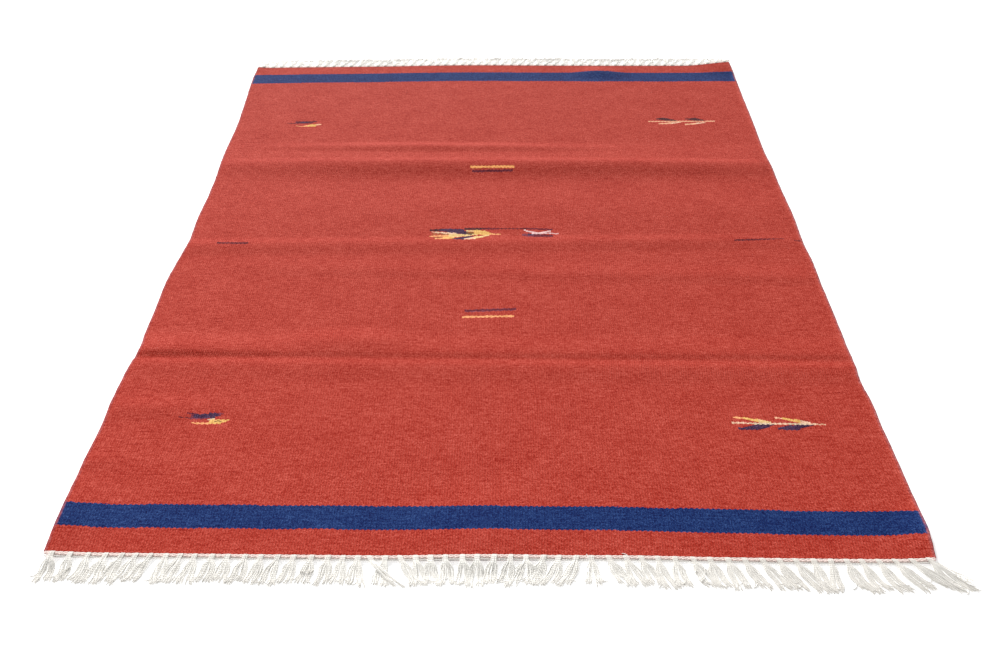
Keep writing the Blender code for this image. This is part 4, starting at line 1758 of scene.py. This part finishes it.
FAR_SWEEP = (
    Sweep(at=-0.69, drift=0.000, lean=-0.004, reach=0.054, painted_shade=0.9),
    Sweep(at=-0.45, drift=0.003, lean=0.012, reach=0.055, painted_shade=0.9),
    Sweep(at=-0.20, drift=0.006, lean=0.006, reach=0.056, painted_shade=0.9),
    Sweep(at=0.05, drift=-0.004, lean=0.014, reach=0.055, painted_shade=0.9),
    Sweep(at=0.35, drift=0.004, lean=0.020, reach=0.055, painted_shade=0.9),
    Sweep(at=0.55, drift=-0.003, lean=0.016, reach=0.054, painted_shade=0.9),
    Sweep(at=0.69, drift=0.000, lean=0.004, reach=0.050, painted_shade=0.9),
)

NEAR_QUIRKS = (
    Quirk(at=-0.508, lean=0.013, fan=0.9, lift=0.0),
    Quirk(at=-0.483, lean=-0.005, fan=1.0, lift=0.0),
    Quirk(at=-0.187, lean=0.042, fan=0.6, lift=0.0016),
    Quirk(at=-0.167, lean=-0.015, fan=0.8, lift=0.0),
    Quirk(at=-0.138, lean=0.024, fan=0.8, lift=0.0),
    Quirk(at=0.057, lean=0.008, fan=1.7, lift=0.0),
    Quirk(at=0.134, lean=-0.008, fan=0.9, lift=0.0),
    Quirk(at=0.188, lean=0.010, fan=1.1, lift=0.0),
    Quirk(at=0.319, lean=0.015, fan=1.0, lift=0.0),
    Quirk(at=0.370, lean=-0.005, fan=1.0, lift=0.0),
    Quirk(at=0.481, lean=0.012, fan=1.0, lift=0.0),
    Quirk(at=0.536, lean=-0.015, fan=0.8, lift=0.0),
    Quirk(at=0.557, lean=0.006, fan=1.0, lift=0.0),
    Quirk(at=0.638, lean=0.009, fan=1.0, lift=0.0008),
    Quirk(at=0.665, lean=0.018, fan=0.9, lift=0.0010),
    Quirk(at=0.692, lean=0.010, fan=1.2, lift=0.0),
)
FAR_QUIRKS = (
    Quirk(at=-0.560, lean=-0.012, fan=1.2, lift=0.0),
    Quirk(at=-0.330, lean=0.010, fan=1.3, lift=0.0),
    Quirk(at=-0.050, lean=-0.014, fan=1.2, lift=0.0),
    Quirk(at=0.160, lean=0.010, fan=1.3, lift=0.0),
    Quirk(at=0.420, lean=-0.012, fan=1.1, lift=0.0),
)
NEAR_STRAYS = (
    Stray(at=0.152, out=-0.002, heading=40, length=0.018, curl=-2.0),
    Stray(at=0.208, out=-0.002, heading=110, length=0.016, curl=-2.4),
    Stray(at=0.030, out=0.010, heading=-32, length=0.056, curl=0.3),
    Stray(at=0.312, out=0.018, heading=75, length=0.030, curl=-2.8),
    Stray(at=0.326, out=0.012, heading=50, length=0.048, curl=-2.2),
    Stray(at=-0.052, out=0.020, heading=60, length=0.034, curl=1.2),
    Stray(at=-0.270, out=0.030, heading=-48, length=0.026, curl=-1.4),
    Stray(at=-0.640, out=0.026, heading=-70, length=0.030, curl=0.8),
    Stray(at=0.702, out=0.012, heading=52, length=0.050, curl=-0.5),
    Stray(at=0.699, out=0.008, heading=46, length=0.060, curl=0.3),
    Stray(at=0.697, out=0.009, heading=50, length=0.062, curl=0.1),
    Stray(at=0.698, out=0.006, heading=48, length=0.064, curl=-0.2),
    Stray(at=0.694, out=0.011, heading=44, length=0.062, curl=0.4),
    Stray(at=0.692, out=0.012, heading=47, length=0.058, curl=0.1),
)


def main() -> None:
    """Build the rug's looks and the studio."""
    logging.basicConfig(level=logging.INFO, format="%(message)s")
    laid = LaidCloth()
    middle = laid.middle()
    cotton = CottonYarn()
    # The twine is darker and pinker than the tassels' cotton: painted shade from the cloth's end
    # and painted red light reflected off the wool, as well as a real pink tint from the wool's
    # fuzz.
    twine = CottonYarn(color=(0.770, 0.610, 0.560), shade=(0.560, 0.430, 0.385), sheen=0.4)
    near = ClothEnd(laid, "near", "fringe_near", way=-1)
    far = ClothEnd(laid, "far", "fringe_far", way=1)
    near_tassels = Tassels(near, NEAR_SWEEP, NEAR_QUIRKS, NEAR_STRAYS, yarns=26)
    far_tassels = Tassels(far, FAR_SWEEP, FAR_QUIRKS, (), yarns=22)
    fringes = (FringeEnd(near, near_tassels, cotton, twine, seed=3),
               FringeEnd(far, far_tassels, cotton, twine, seed=8))
    trimmings = [piece for fringe in fringes for piece in fringe.build(middle)]
    cloth = WovenField(laid, WovenWool()).build(middle)
    Studio().build(laid, middle)


if __name__ == "__main__":
    main()
